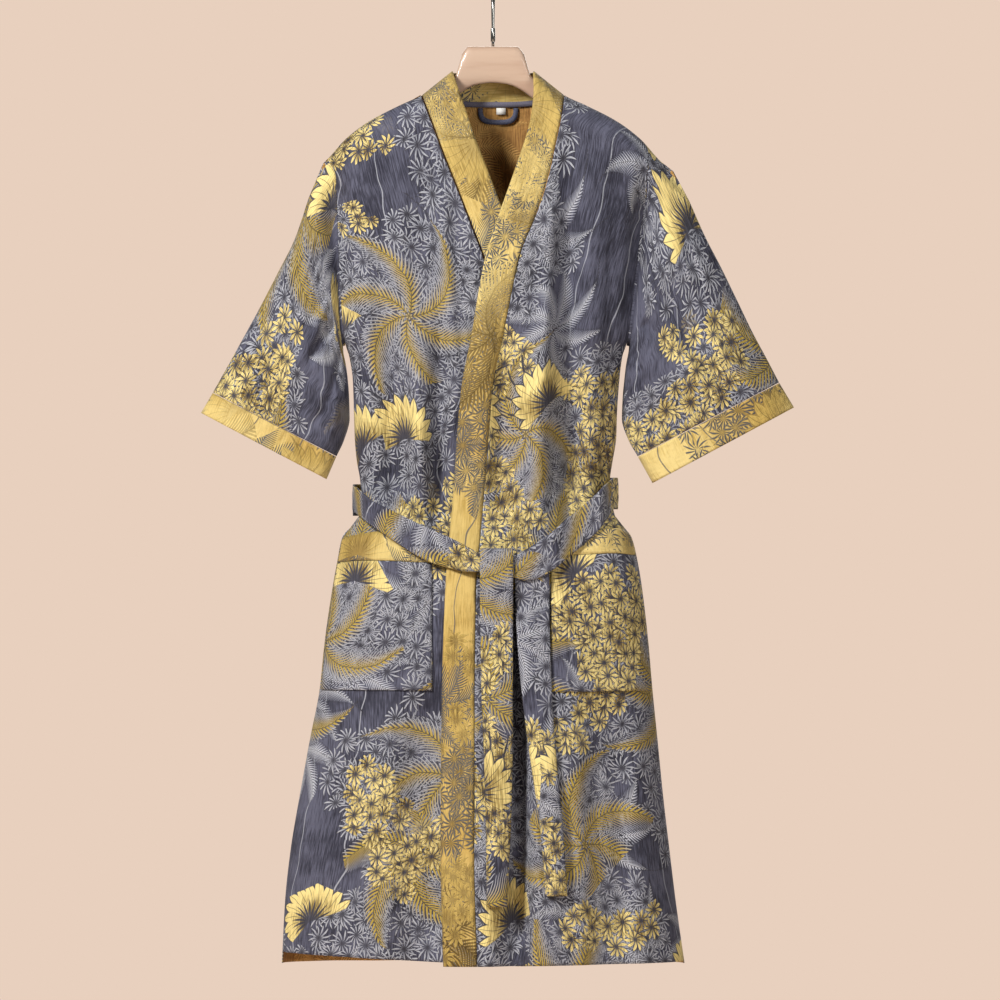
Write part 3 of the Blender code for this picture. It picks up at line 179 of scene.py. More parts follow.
# Smaller creases that only show on the cloth itself
FRONT_CREASES = table_of(
    Fold,
    (0.098, -0.290, 0.099, -0.735, 0.018, -0.0240), (0.064, -0.400, 0.062, -0.735, 0.013, 0.0085),
    (-0.129, -0.420, -0.132, -0.735, 0.017, -0.0210),
    (-0.098, -0.430, -0.098, -0.735, 0.011, 0.0080),
    (-0.068, -0.440, -0.070, -0.740, 0.012, -0.0175),
    (0.014, -0.450, 0.010, -0.735, 0.014, -0.0180), (0.150, -0.270, 0.130, -0.700, 0.014, 0.0060),
    (-0.160, -0.300, -0.164, -0.700, 0.012, 0.0060), (0.032, -0.780, 0.036, -1.330, 0.014, -0.0165),
    (-0.074, -0.900, -0.078, -1.330, 0.015, -0.0130),
    (-0.195, -0.960, -0.226, -1.330, 0.014, 0.0070), (0.160, -0.960, 0.176, -1.330, 0.015, -0.0130),
    (-0.205, -0.330, -0.120, -0.245, 0.010, -0.0045),
    (-0.198, -0.440, -0.110, -0.360, 0.012, -0.0042),
    (-0.070, -0.240, -0.052, -0.520, 0.007, 0.0029),
    (-0.052, -0.270, -0.036, -0.560, 0.006, -0.0032),
    (-0.155, -0.300, -0.150, -0.620, 0.009, -0.0038),
    (0.060, -0.290, 0.052, -0.560, 0.008, -0.0035), (0.078, -0.240, 0.070, -0.500, 0.006, 0.0026),
    (0.155, -0.270, 0.148, -0.620, 0.009, -0.0042), (0.185, -0.330, 0.120, -0.250, 0.009, -0.0035),
    (0.150, -0.560, 0.143, -0.720, 0.006, -0.0054), (0.082, -0.560, 0.074, -0.720, 0.006, -0.0051),
    (0.030, -0.550, 0.022, -0.730, 0.007, -0.0058),
    (-0.112, -0.560, -0.108, -0.730, 0.006, -0.0048),
    (-0.155, -0.590, -0.150, -0.720, 0.006, -0.0048),
    (-0.080, -0.760, -0.078, -0.900, 0.007, -0.0048),
    (0.066, -0.760, 0.064, -0.940, 0.006, -0.0058), (0.005, -0.860, -0.004, -1.340, 0.010, 0.0058),
    (0.050, -0.880, 0.052, -1.340, 0.009, 0.0067), (0.108, -0.960, 0.116, -1.340, 0.015, 0.0068),
    (-0.125, -0.950, -0.138, -1.340, 0.010, 0.0045),
    (-0.170, -0.990, -0.190, -1.340, 0.010, -0.0048),
)
BACK_CREASES = table_of(
    Fold,
    (-0.185, -0.330, -0.080, -0.300, 0.010, -0.0036),
    (0.180, -0.330, 0.080, -0.300, 0.010, -0.0036),
    (-0.100, -0.580, -0.100, -0.740, 0.006, -0.0045),
    (-0.052, -0.580, -0.050, -0.760, 0.006, 0.0045), (0.004, -0.570, 0.004, -0.770, 0.006, -0.0048),
    (0.054, -0.580, 0.052, -0.760, 0.006, -0.0045), (0.105, -0.580, 0.100, -0.750, 0.006, 0.0042),
    (-0.100, -0.800, -0.112, -1.360, 0.011, 0.0045),
    (-0.036, -0.800, -0.040, -1.360, 0.011, -0.0045), (0.036, -0.800, 0.040, -1.360, 0.011, 0.0048),
    (0.100, -0.800, 0.112, -1.360, 0.011, -0.0045),
)
VALLEY_DEPTH = 0.0140
VALLEY_WIDTH = 0.013
VALLEY_GROWS_OVER = 0.10
CRINKLE = 0.00080
CRINKLE_SHIFT = 1.7
FINE_CRINKLE = 0.6
PULLED_CRINKLE = 0.9

SleeveRow = namedtuple("SleeveRow", "top_x top_z under_x under_z half_depth")
LEFT_SLEEVE = table_of(
    SleeveRow,
    (-0.2387, -0.3006, -0.1932, -0.5035, 0.034), (-0.2567, -0.3535, -0.1905, -0.5165, 0.037),
    (-0.2786, -0.3973, -0.1880, -0.5350, 0.039), (-0.3019, -0.4425, -0.1862, -0.5600, 0.040),
    (-0.3251, -0.4850, -0.1856, -0.5860, 0.040), (-0.3444, -0.5199, -0.1925, -0.6130, 0.038),
    (-0.3625, -0.5521, -0.2025, -0.6347, 0.036), (-0.3780, -0.5786, -0.2154, -0.6644, 0.034),
)
RIGHT_SLEEVE = table_of(
    SleeveRow,
    (0.2541, -0.3044, 0.1747, -0.5035, 0.034), (0.2748, -0.3509, 0.1722, -0.5165, 0.037),
    (0.2954, -0.3909, 0.1700, -0.5350, 0.039), (0.3161, -0.4334, 0.1677, -0.5600, 0.040),
    (0.3367, -0.4760, 0.1668, -0.5860, 0.040), (0.3548, -0.5096, 0.1750, -0.6130, 0.038),
    (0.3702, -0.5392, 0.1871, -0.6347, 0.036), (0.3896, -0.5715, 0.2064, -0.6695, 0.034),
)
SLEEVE_POWER = 0.82
SLEEVE_START = 0.004
SLEEVE_OUT = 0.0002
SLEEVE_TIP_DROP = 0.0004
SLEEVE_RIPPLE = 0.10
CREASE_STARTS = (-0.02, 0.22)
CREASE_ENDS = (0.75, 1.05)
EASED_SHARES = (0.25, 0.5, 0.75)
CUFF_END = 1.18
SLEEVE_RINGS = 74
CUFF_RINGS = 14
RING_STEP = 0.006
ARMHOLE_GAP = 0.0006
ARMHOLE_TIP_SLOPE = 0.7
ARMHOLE_FOOT_SLOPE = 0.25
CUFF_GAP = 0.0009

# Creases of a sleeve: where they start and end along it, at which share of its width, how deep
SleeveCrease = namedtuple("SleeveCrease", "start end from_share to_share width rise")
SLEEVE_CREASES = table_of(
    SleeveCrease,
    (0.00, 0.55, 0.78, 0.55, 0.040, -0.0070), (0.02, 0.80, 0.62, 0.42, 0.036, 0.0055),
    (0.05, 0.95, 0.92, 0.74, 0.034, -0.0060), (0.20, 1.00, 0.50, 0.26, 0.040, -0.0052),
    (0.30, 1.05, 0.30, 0.14, 0.034, 0.0040), (0.00, 0.30, 0.10, 0.13, 0.018, 0.0030),
    (0.00, 0.34, 0.16, 0.19, 0.016, -0.0034), (0.00, 0.28, 0.23, 0.26, 0.018, 0.0028),
    (0.55, 1.05, 0.88, 0.90, 0.030, 0.0040),
)

# Rows and columns of the panels, close together where the cloth turns sharply
CROWN_DROPS = [0.0, 0.00002, 0.0002, 0.0006, 0.0014, 0.003, 0.0055, 0.009, 0.0135, 0.019, 0.026, 0.034]
NECK_DROPS = [0.0, 0.0012, 0.0028, 0.0048, 0.0072, 0.010, 0.0132, 0.0168, 0.0208, 0.025, 0.0294, 0.034]
CROWN_TO_LEVEL = [0.08, 0.16, 0.24, 0.32, 0.40, 0.48, 0.56, 0.64, 0.72, 0.80, 0.88, 0.94]
UPPER_LEVELS = [*np.linspace(-0.335, UNDERARM_HEIGHT, 40), *np.linspace(-0.495, -0.712, 62)]
BACK_LEVELS = [*np.linspace(-0.716, -0.944, 52)]
LOWER_LEVELS = [*np.linspace(-0.944, -1.190, 55)]
HEM_ROWS = 24
ARMHOLE_INNER_COLUMN = 7
SIDE_SHARES = [0.0, 0.002, 0.006, 0.014, 0.026, 0.044, 0.068, 0.100]
SIDE_COLUMNS = 34
MIDDLE_COLUMNS = 36
BACK_SIDE_SHARES = [0.0, 0.001, 0.003, 0.007, 0.014, 0.025, 0.040, 0.058]
BACK_COLUMNS = 64
NECK_INSETS = [0.0, 0.0010, 0.0025, 0.0045, 0.0075, 0.0110, 0.0150, 0.0190]
EDGE_RISE = 0.0025
NECK_TURN = 0.010
POCKET_LINE_SHARE = 0.51

Pocket = namedtuple("Pocket", "inner_x top band_foot foot gape gape_at")
LEFT_POCKET = Pocket(-0.0787, -0.7425, -0.7720, -0.9365, 0.0190, 0.62)
RIGHT_POCKET = Pocket(0.0748, -0.7345, -0.7630, -0.9380, 0.0175, 0.66)
POCKET_ROWS = 44
POCKET_BAND_ROWS = 9
POCKET_OUTER_COLUMN = 4
POCKET_EDGE = 0.02
POCKET_FOOT_EDGE = 0.03
POCKET_CALM = 0.8
POCKET_LINE_HELD = (0.42, 0.64)
POCKET_LINE_FREE = (0.97, 1.26)
GAPE_POWER = 1.3
GAPE_FADE = 1.6

BELT_WIDTH = 0.041
KNOT_END = -0.7950
KNOT_LIFT = 0.0080
KNOT_LIFT_CENTRE = 0.025
KNOT_LIFT_ENDS = (0.050, 0.085)
KNOT_CENTRE = 0.022
PLEAT_ENDS = (0.022, 0.100)
PLEATS = 2.6
PLEAT_SLANT = 14
BELT_CROWN = 0.0008
LEAST_PLEAT = 0.0003
DRAWN_PLEAT = 0.0013
SIDE_HEIGHT_LEFT = -0.6914
SIDE_HEIGHT_RIGHT = -0.6830
BACK_SAG = 0.012
BELT_COLUMNS = 240
BELT_RAYS = 8 * BELT_COLUMNS + 1
LEAST_FACING = 1e-9
OUTLINE_DECIMALS = 5
BELT_ROUND = (0.165, 0.062)
BELT_GAP = 0.0006
BELT_REACH = 0.009
BeltRow = namedtuple("BeltRow", "x z width")
BELT_FRONT = table_of(
    BeltRow,
    (-0.1780, -0.6914, 0.034), (-0.1600, -0.7056, 0.032), (-0.1340, -0.7213, 0.037),
    (-0.0845, -0.7485, 0.043), (-0.0580, -0.7585, 0.040), (-0.0387, -0.7656, 0.035),
    (-0.0168, -0.7720, 0.025), (0.0045, -0.7765, 0.023), (0.0260, -0.7775, 0.027),
    (0.0413, -0.7753, 0.040), (0.0671, -0.7630, 0.049), (0.1120, -0.7272, 0.051),
    (0.1340, -0.7076, 0.050), (0.1560, -0.6830, 0.040),
)
EndRow = namedtuple("EndRow", "x z width crown")
FRONT_END = table_of(
    EndRow,
    (0.0045, -0.770, 0.0426, 0.0010), (0.0045, -0.820, 0.0426, 0.0012),
    (0.0048, -0.880, 0.0415, 0.0020), (0.0054, -0.950, 0.0400, 0.0030),
    (0.0068, -1.020, 0.0370, 0.0045), (0.0070, -1.090, 0.0335, 0.0060),
    (0.0062, -1.150, 0.0300, 0.0070), (0.0050, -1.214, 0.0260, 0.0070),
)
BACK_END = table_of(
    EndRow,
    (0.0505, -0.772, 0.0440, 0.0000), (0.0505, -0.800, 0.0440, 0.0000),
    (0.0515, -0.850, 0.0430, 0.0015), (0.0545, -0.910, 0.0410, 0.0030),
    (0.0590, -0.970, 0.0370, 0.0045), (0.0665, -1.040, 0.0330, 0.0055),
    (0.0750, -1.110, 0.0300, 0.0060), (0.0815, -1.200, 0.0280, 0.0060),
)
END_COLUMNS = 13
END_ROWS = 90
END_FIRST_DROP = 0.026
END_LOOK_UP = 0.008
END_LOOK_BESIDE = 0.003
END_SMOOTHED = 9
END_SWING = 0.10
END_HELD_BESIDE = 0.020
END_OVER_BESIDE = 0.001
END_FREE_BELOW = 0.02
END_TUCKED_UP = 0.008
END_SEEN_BELOW = 0.004
END_TUCK_EDGE = 0.001
FOLD_STEPS = 15
BELT_ACROSS = 15

TAPE_HALF_WIDTH = 0.058
TAPE_TOP = -0.1752
TAPE_FOOT = -0.1822
TAPE_GAP = 0.0015
TAPE_COLUMNS = 17
LOOP_CENTRE_X = 0.0065
LOOP_HALF_WIDTH = 0.0262
LOOP_DROP = 0.0215
LOOP_STRIP = 0.0062
LOOP_ROWS = 15
LOOP_POWER = 0.6
LABEL_CENTRE_X = 0.0103
LABEL_SIZE = (0.0120, 0.0085)

HangerRow = namedtuple("HangerRow", "x top foot thickness")
HANGER = table_of(
    HangerRow,
    (0.000, -0.1045, -0.1510, 0.0150), (0.020, -0.1045, -0.1535, 0.0150),
    (0.036, -0.1050, -0.1605, 0.0155), (0.0475, -0.1400, -0.1690, 0.0160),
    (0.056, -0.1480, -0.1745, 0.0165), (0.075, -0.1635, -0.1870, 0.0175),
    (0.100, -0.1785, -0.2030, 0.0205), (0.130, -0.1925, -0.2180, 0.0260),
    (0.160, -0.2085, -0.2330, 0.0310), (0.185, -0.2270, -0.2470, 0.0300),
    (0.202, -0.2440, -0.2570, 0.0200), (0.208, -0.2510, -0.2560, 0.0110),
)
HOOK_INSIDE_RADIUS = 0.019
HOOK_BOW_WIRE = 0.0030
HOOK_SHANK_WIRE = 0.0019
HOOK_FOOT = -0.1041
HOOK_TURNS = (-52, 205)
HOOK_STEPS = 22
HOOK_BEND_DROP = 0.016
HOOK_BEND = (0.15, 0.9, 7)
HOOK_BEND_START = 0.4
HOOK_BEND_PULL = 0.45
HOOK_BEND_POWER = 1.6
HOOK_BEND_EASE = 0.2
SHANK_STEPS = 5
FERRULE_EDGE = 0.0004
FERRULE_TOP_EDGES = (0.0012, 0.0006)
FERRULE_TOP = -0.0800
FERRULE_FOOT = -0.0980
FERRULE_RADIUS = 0.0030


def smooth(knots: Sequence[float] | Array, values: Sequence[float] | Array, at: Numbers) -> Array:
    """Value at each place on a cubic curve through the knots that doesn't overshoot them.

    Args:
        knots: Places that the curve passes through, in order.
        values: Value at each knot.
        at: Places to read the curve at.

    Returns:
        The curve's values at those places.
    """
    knots = np.asarray(knots, float)
    values = np.asarray(values, float)
    step = np.diff(knots)
    rise = np.diff(values) / step
    slope = np.concatenate([rise[:1], np.zeros(len(knots) - 2), rise[-1:]])
    product = rise[:-1] * rise[1:]
    total = np.where(product > 0, rise[:-1] + rise[1:], 1.0)
    slope[1:-1] = np.where(product > 0, 2 * product / total, 0.0)
    place = np.clip(np.asarray(at, float), knots[0], knots[-1])
    k = np.clip(np.searchsorted(knots, place) - 1, 0, len(knots) - 2)
    t = (place - knots[k]) / step[k]
    start = (1 + 2 * t) * (1 - t) ** 2 * values[k] + t * (1 - t) ** 2 * step[k] * slope[k]
    end = t * t * (3 - 2 * t) * values[k + 1] + t * t * (t - 1) * step[k] * slope[k + 1]
    return start + end


def spread(x: Numbers, y: Numbers, z: Numbers) -> Array:
    """Points with these coordinates, each repeated over the rows and columns of the others."""
    return np.stack(np.broadcast_arrays(x, y, z), -1)


def unit(vectors: Array) -> Array:
    """The same directions, each with a length of 1."""
    return vectors / np.linalg.norm(vectors, axis=-1, keepdims=True)


def run_along(line: Array) -> Array:
    """Length of a line up to each of its points."""
    return np.concatenate([[0], np.linalg.norm(np.diff(line, axis=0), axis=1).cumsum()])


def signed_power(values: Array, power: float) -> Array:
    """The size of each value raised to a power, with the value's own sign."""
    return np.sign(values) * np.abs(values) ** power


def column(table: Sequence[Any], key: str, name: str, at: Numbers) -> Array:
    """A table's named column, read on a smooth curve at places along its key column.

    Args:
        table: Rows with named columns.
        key: Name of the column that orders the rows.
        name: Name of the column to read.
        at: Places to read the curve at.

    Returns:
        The column's values at those places.
    """
    rows = sorted(table, key=lambda row: getattr(row, key))
    keys = [getattr(row, key) for row in rows]
    return smooth(keys, [getattr(row, name) for row in rows], at)


def step_up(start: Numbers, end: Numbers, at: Numbers) -> Array:
    """0 before start and 1 after end, turning smoothly between them."""
    t = np.clip((np.asarray(at, float) - start) / (end - start), 0, 1)
    return t * t * (3 - 2 * t)


def ridge_height(x: Numbers) -> Array:
    """Height of the shoulder ridge, or of its run on under the neckband, over x."""
    return column(RIDGE, "x", "z", np.abs(x))


def side_width(z: Numbers, x: Numbers) -> Array:
    """Distance of the side seam or armhole edge from the middle, on the side that x is on.

    Args:
        z: Height in metres.
        x: Metres to the right of the middle.

    Returns:
        Distances in metres.
    """
    left = column(LEVELS, "z", "left", z)
    right = column(LEVELS, "z", "right", z)
    return np.where(np.asarray(x) < 0, left, right)


def fold_height(folds: Sequence[Fold], x: Numbers, z: Numbers) -> Array:
    """How far the folds raise the cloth at a point of a panel.

    Args:
        folds: Folds that cross the panel.
        x: Metres to the right of the middle.
        z: Height in metres.

    Returns:
        Rise of the cloth in metres.
    """
    total = np.zeros(np.broadcast(x, z).shape)
    for fold in folds:
        along = (fold.top_z - z) / (fold.top_z - fold.bottom_z)
        centre = fold.top_x + (fold.bottom_x - fold.top_x) * np.clip(along, 0, 1)
        fade_in = step_up(-fold.top_z - FOLD_FADE / 2, -fold.top_z + FOLD_FADE, -z)
        fade_out = 1 - step_up(-fold.bottom_z - FOLD_FADE, -fold.bottom_z + FOLD_FADE / 2, -z)
        across = np.exp(-(((x - centre) / fold.width) ** 2))
        total = total + fold.rise * across * fade_in * fade_out
    return total


def crinkle(x: Numbers, z: Numbers, face: int) -> Array:
    """Small soft unevenness of the washed cloth, longer down the robe than across it.

    Args:
        x: Metres to the right of the middle.
        z: Height in metres.
        face: -1 for the front and 1 for the back.

    Returns:
        Rise of the cloth in metres.
    """
    # The waves below are in radians for a metre along x or z
    shift = CRINKLE_SHIFT * face
    wide = np.sin(190 * x + 5 * np.sin(9 * z + shift) + shift) * np.sin(13 * z + 21 * x + shift)
    fine = np.sin(410 * x + 7 * np.sin(17 * z - shift)) * np.sin(47 * z - 60 * x + shift)
    pull = np.sin(95 * x - 38 * z + 3 * np.sin(11 * z + 6 * x))
    return CRINKLE * (wide + FINE_CRINKLE * fine + PULLED_CRINKLE * pull)


def body_depth(x: Numbers, z: Numbers, face: int) -> Array:
    """Distance of a panel's outer face from the plane of the seams.

    Args:
        x: Metres to the right of the middle.
        z: Height in metres.
        face: -1 for the front and 1 for the back.

    Returns:
        Distances in metres.
    """
    x = np.asarray(x, float)
    z = np.asarray(z, float)
    above = np.clip((z - UNDERARM_HEIGHT) / ARMHOLE_ROUNDING, 0, 1)
    fullness = ARMHOLE_FULLNESS * np.sqrt(1 - (1 - above) ** 2)
    width = side_width(z, x)
    across = np.clip(np.abs(x) / (width + fullness), 0, 1)
    roundness = (1 - across**SIDE_POWER) ** SIDE_ROOT
    drop = np.clip((ridge_height(x) - z) / SHOULDER_CROWN, 0, 1)
    crown = np.sqrt(1 - (1 - drop) ** 2)
    depth = column(LEVELS, "z", "front" if face < 0 else "back", z)
    large, small = (FRONT_FOLDS, FRONT_CREASES) if face < 0 else (BACK_FOLDS, BACK_CREASES)
    folds = fold_height(large, x, z) + fold_height(small, x, z) + crinkle(x, z, face)
    folds = folds * np.clip(roundness * FOLD_GAIN - FOLD_LOSS, 0, 1) * crown * pocket_calm(x, z, face)
    edge = np.exp(-(((width - np.abs(x)) / VALLEY_WIDTH) ** 2)) * crown
    valley = VALLEY_DEPTH * edge * step_up(UNDERARM_HEIGHT, UNDERARM_HEIGHT + VALLEY_GROWS_OVER, z)
    shape = np.maximum(depth * roundness * crown - valley, 0)
    return np.hypot(SEAM_GAP / 2, shape) + folds


def pocket_calm(x: Numbers, z: Numbers, face: int) -> Numbers:
    """1 on the open cloth and less where a pocket's second layer holds it flat.

    Args:
        x: Metres to the right of the middle.
        z: Height in metres.
        face: -1 for the front and 1 for the back.

    Returns:
        Shares by which folds are kept.
    """
    if face > 0:
        return 1.0
    calm = 1.0
    for pocket in (LEFT_POCKET, RIGHT_POCKET):
        side = math.copysign(1, pocket.inner_x)
        inner = abs(pocket.inner_x)
        inside = step_up(inner - POCKET_EDGE, inner + POCKET_EDGE, side * x)
        high = 1 - step_up(pocket.top - POCKET_EDGE, pocket.top + POCKET_EDGE, z)
        low = step_up(pocket.foot - POCKET_FOOT_EDGE, pocket.foot + POCKET_EDGE, z)
        calm = calm * (1 - POCKET_CALM * inside * high * low)
    return calm


def lap_lift(x: Numbers, z: Numbers) -> Array:
    """How far the lapping front is lifted clear of the front under it."""
    down = step_up(-LAP_TOP, -LAP_FULL, -np.asarray(z, float))
    return LAP_LIFT * down * (1 - step_up(LAP_FLAT_TO, LAP_GONE_AT, x))


def under_sink(x: Numbers, z: Numbers) -> Array:
    """How far the front under the lap is pressed in by it."""
    down = step_up(-LAP_FULL, -LAP_FULL + UNDER_SINK_OVER, -np.asarray(z, float))
    return UNDER_SINK * down * step_up(UNDER_SINK_FROM, UNDER_SINK_FULL, x)


def front_point(x: Numbers, z: Numbers, lapping: bool, proud: Numbers = 0.0) -> Array:
    """Points on the outer face of a front, moved out by proud."""
    lift = lap_lift(x, z) if lapping else -under_sink(x, z)
    return spread(x, -(body_depth(x, z, -1) + lift + proud), z)


def back_point(x: Numbers, z: Numbers, proud: Numbers = 0.0) -> Array:
    """Points on the outer face of the back, moved out by proud."""
    return spread(x, body_depth(x, z, 1) + proud, z)


def pocket_rows(pocket: Pocket) -> list[float]:
    """Heights of the rows along a pocket, from the top of its band to its foot."""
    band = np.linspace(pocket.top, pocket.band_foot, POCKET_BAND_ROWS)[:-1]
    return [*band, *np.linspace(pocket.band_foot, pocket.foot, POCKET_ROWS)]


def row_heights(top: Array, drops: Array, levels: Sequence[float], hem: Array) -> Array:
    """Heights of a panel's rows under each point of its top edge, down to its hem.

    Args:
        top: Height of the panel's top edge at each column.
        drops: Distances below the top edge of the first rows.
        levels: Heights of the level rows.
        hem: Height of the hem at each column.

    Returns:
        Heights as a grid of rows and columns.
    """
    crown = top[None, :] - drops
    turning = [crown[-1] + (levels[0] - crown[-1]) * share for share in CROWN_TO_LEVEL]
    flat = [np.full(len(top), level) for level in levels]
    foot = [levels[-1] + (hem - levels[-1]) * share for share in np.linspace(0, 1, HEM_ROWS)[1:]]
    return np.array(list(crown) + turning + flat + foot)


def front_grid(lapping: bool) -> Array:
    """Outer face of one front: rows from the shoulder to the hem, columns from the side inwards.

    Args:
        lapping: True for the front that laps over the other.

    Returns:
        Grid of points.
    """
    band, pocket = (LAPPING_BAND, RIGHT_POCKET) if lapping else (UNDER_BAND, LEFT_POCKET)
    tip, hem = (RIGHT_TIP, FRONT_HEM_RIGHT) if lapping else (LEFT_TIP, FRONT_HEM_LEFT)
    side = math.copysign(1, tip[0])
    outer = SIDE_SHARES + list(np.linspace(SIDE_SHARES[-1], 1, SIDE_COLUMNS + 1)[1:])
    inner = list(np.linspace(1, 2, MIDDLE_COLUMNS + 1)[1:])
    shares = np.array(outer + inner)
    top_x = tip[0] + (side * NECK_POINT[0] - tip[0]) * np.clip(shares / 2, 0, 1)
    levels = UPPER_LEVELS + pocket_rows(pocket) + LOWER_LEVELS
    hem_z = hem + (FRONT_HEM_CENTRE - hem) * shares / 2
    z = row_heights(ridge_height(top_x), np.array(CROWN_DROPS)[:, None], levels, hem_z)
    slanted, upright = (SLANT_GAP, TOUCH_GAP) if lapping else (2 * SLANT_GAP, UNDER_GAP)
    gap = side * np.where(z[:, -1] > SLANT_FOOT, slanted, upright)
    out_x = (side * side_width(z[:, 0], side))[:, None]
    in_x = (column(band, "seam_z", "seam_x", z[:, -1]) + gap)[:, None]
    level = z[:, :1]
    plain = out_x + (in_x - out_x) * POCKET_LINE_SHARE
    held = step_up(*POCKET_LINE_HELD, -level) * (1 - step_up(*POCKET_LINE_FREE, -level))
    line_x = plain + (pocket.inner_x - plain) * held
    x = np.where(shares < 1, out_x + (line_x - out_x) * shares,
                 line_x + (in_x - line_x) * (shares - 1))
    crown = len(CROWN_DROPS)
    to_ridge = ridge_height(x[:crown]) - np.array(CROWN_DROPS)[:, None] - z[:crown]
    z[:crown] += to_ridge * (1 - (shares / 2) ** 3)
    points = front_point(x, z, lapping)
    return seam_plane(points, np.ones(z.shape[1], bool))


def seam_plane(points: Array, shoulder: Array) -> Array:
    """The points, with those of the shoulder and side seams brought to half the gap from their plane.

    Args:
        points: Grid of points.
        shoulder: True at each column that ends on a shoulder seam.

    Returns:
        The same grid, with its seams in place.
    """
    side = np.sign(points[..., 1].sum())
    points[0, :, 1] = np.where(shoulder, side * SEAM_GAP / 2, points[0, :, 1])
    risen = side * np.maximum(np.abs(points[1, :, 1]), EDGE_RISE)
    points[1, :, 1] = np.where(shoulder, risen, points[1, :, 1])
    low = points[:, 0, 2] <= UNDERARM_HEIGHT + EVEN
    points[low, 0, 1] = side * SEAM_GAP / 2
    return points


def back_half(tip: tuple[float, float]) -> Array:
    """Half of the back's outer face, from its side seam to the middle.

    Args:
        tip: x and z of the shoulder's outer end.

    Returns:
        Grid of points.
    """
    side = math.copysign(1, tip[0])
    width = abs(tip[0])
    neck = [1 - (NECK_POINT[0] - inset) / width for inset in NECK_INSETS]
    outer = list(np.linspace(BACK_SIDE_SHARES[-1], neck[0], BACK_COLUMNS // 2 + 1)[1:-1])
    inner = list(np.linspace(neck[-1], 1, BACK_COLUMNS // 2 + 1)[1:])
    shares = np.array(BACK_SIDE_SHARES + outer + neck + inner)
    top_x = side * width * (1 - shares)
    in_neck = np.abs(top_x) < NECK_POINT[0] - EVEN
    top = np.where(in_neck, neck_height(top_x), ridge_height(top_x))
    inset = step_up(0.0, NECK_TURN, NECK_POINT[0] - np.abs(top_x))[None, :]
    drops = np.array(CROWN_DROPS)[:, None] * (1 - inset) + np.array(NECK_DROPS)[:, None] * inset
    levels = UPPER_LEVELS + BACK_LEVELS + LOWER_LEVELS[1:]
    z = row_heights(top, drops, levels, np.full(len(shares), BACK_HEM))
    out_x = (side * side_width(z[:, 0], side))[:, None]
    line_x = out_x * (1 - neck[0])
    line_x[: len(CROWN_DROPS)] = side * NECK_POINT[0]
    beside = out_x + (line_x - out_x) * shares[None, :] / neck[0]
    x = np.where(shares < neck[0], beside, line_x * (1 - shares[None, :]) / (1 - neck[0]))
    return seam_plane(back_point(x, z), ~in_neck)


def neck_height(x: Numbers) -> Array:
    """Height of the back neckline: level in the middle, rising to the neck points."""
    share = np.clip(np.abs(x) / NECK_POINT[0], 0, 1)
    return BACK_NECK_HEIGHT + (NECK_POINT[1] - BACK_NECK_HEIGHT) * share**3


def back_grid() -> Array:
    """Outer face of the back, from the left side seam to the right one."""
    left, right = back_half(LEFT_TIP), back_half(RIGHT_TIP)
    return np.concatenate([left, right[:, -2::-1]], axis=1)


def armhole_ring(front: Array, back: Array) -> tuple[Array, Array, int]:
    """The edge of the armhole, read from both panels' own edge points, from the tip round.

    Args:
        front: Grid of the front.
        back: Grid of the back.

    Returns:
        Ring, directions out of it, and its lowest place.
    """
    used = [i for i in range(len(front)) if i != 1 and front[i, 0, 2] >= UNDERARM_HEIGHT - EVEN]
    ring = [front[i, 0] for i in used] + [back[i, 0] for i in used[-2:0:-1]]
    inner = [front[i, ARMHOLE_INNER_COLUMN] for i in used]
    inner += [back[i, ARMHOLE_INNER_COLUMN] for i in used[-2:0:-1]]
    ring = np.array(ring)
    outward = ring - np.array(inner)
    under = len(used) - 1
    ring[[0, under], 1] = 0
    outward[[0, under], 1] = 0
    side = np.sign(ring[0, 0])
    outward[0] = (side * ARMHOLE_TIP_SLOPE, 0, -ARMHOLE_TIP_SLOPE)
    outward[under] = (side, 0, -ARMHOLE_FOOT_SLOPE)
    return ring, unit(outward), under


def sleeve_rings(table: Sequence[Any], front: Array, back: Array) -> tuple[list[Array], list[Array]]:
    """Rings of a sleeve and of its cuff, from the armhole to the cuff's end.

    Args:
        table: Rows with named columns.
        front: Grid of the front.
        back: Grid of the back.

    Returns:
        The sleeve's rings and the cuff's rings.
    """
    edge, outward, under = armhole_ring(front, back)
    side = np.sign(edge[0, 0])
    start = edge + outward * SLEEVE_OUT + np.array([side * ARMHOLE_GAP, 0, 0])
    start[0, 2] -= SLEEVE_TIP_DROP
    height = edge[0, 2] - edge[under, 2]
    share = 2 * (edge[:, 2] - edge[under, 2]) / height - 1
    angle = np.arccos(np.clip(share, -1, 1))
    for half in (angle[: under + 1], angle[:under:-1]):
        step = RING_STEP * np.arange(len(half))
        half[:] = np.minimum(np.maximum.accumulate(half - step) + step, math.pi)
    angle[under + 1 :] *= -1
    count = len(table) - 2
    rings = [start, start + outward * SLEEVE_START]
    first = sleeve_ring(table[0], angle, 0.0)
    for share in EASED_SHARES:
        eased = share * share * (3 - 2 * share)
        rings.append(rings[1] * (1 - share) + first * share)
        rings[-1][:, 1] = rings[1][:, 1] * (1 - eased) + first[:, 1] * eased
    index = np.arange(count + 1)
    sizes = np.array(table[:-1]).T
    for place in np.linspace(0, count, SLEEVE_RINGS):
        row = SleeveRow(*(smooth(index, size, place) for size in sizes))
        rings.append(sleeve_ring(row, angle, place / count))
    last, end = rings[-1], sleeve_ring(table[-1], angle, CUFF_END)
    way = np.array([table[-1].top_x - table[-2].top_x, 0, table[-1].top_z - table[-2].top_z])
    seam = last + unit(way) * CUFF_GAP
    cuff = [seam * (1 - share) + end * share for share in np.linspace(0, 1, CUFF_RINGS)]
    return rings, cuff


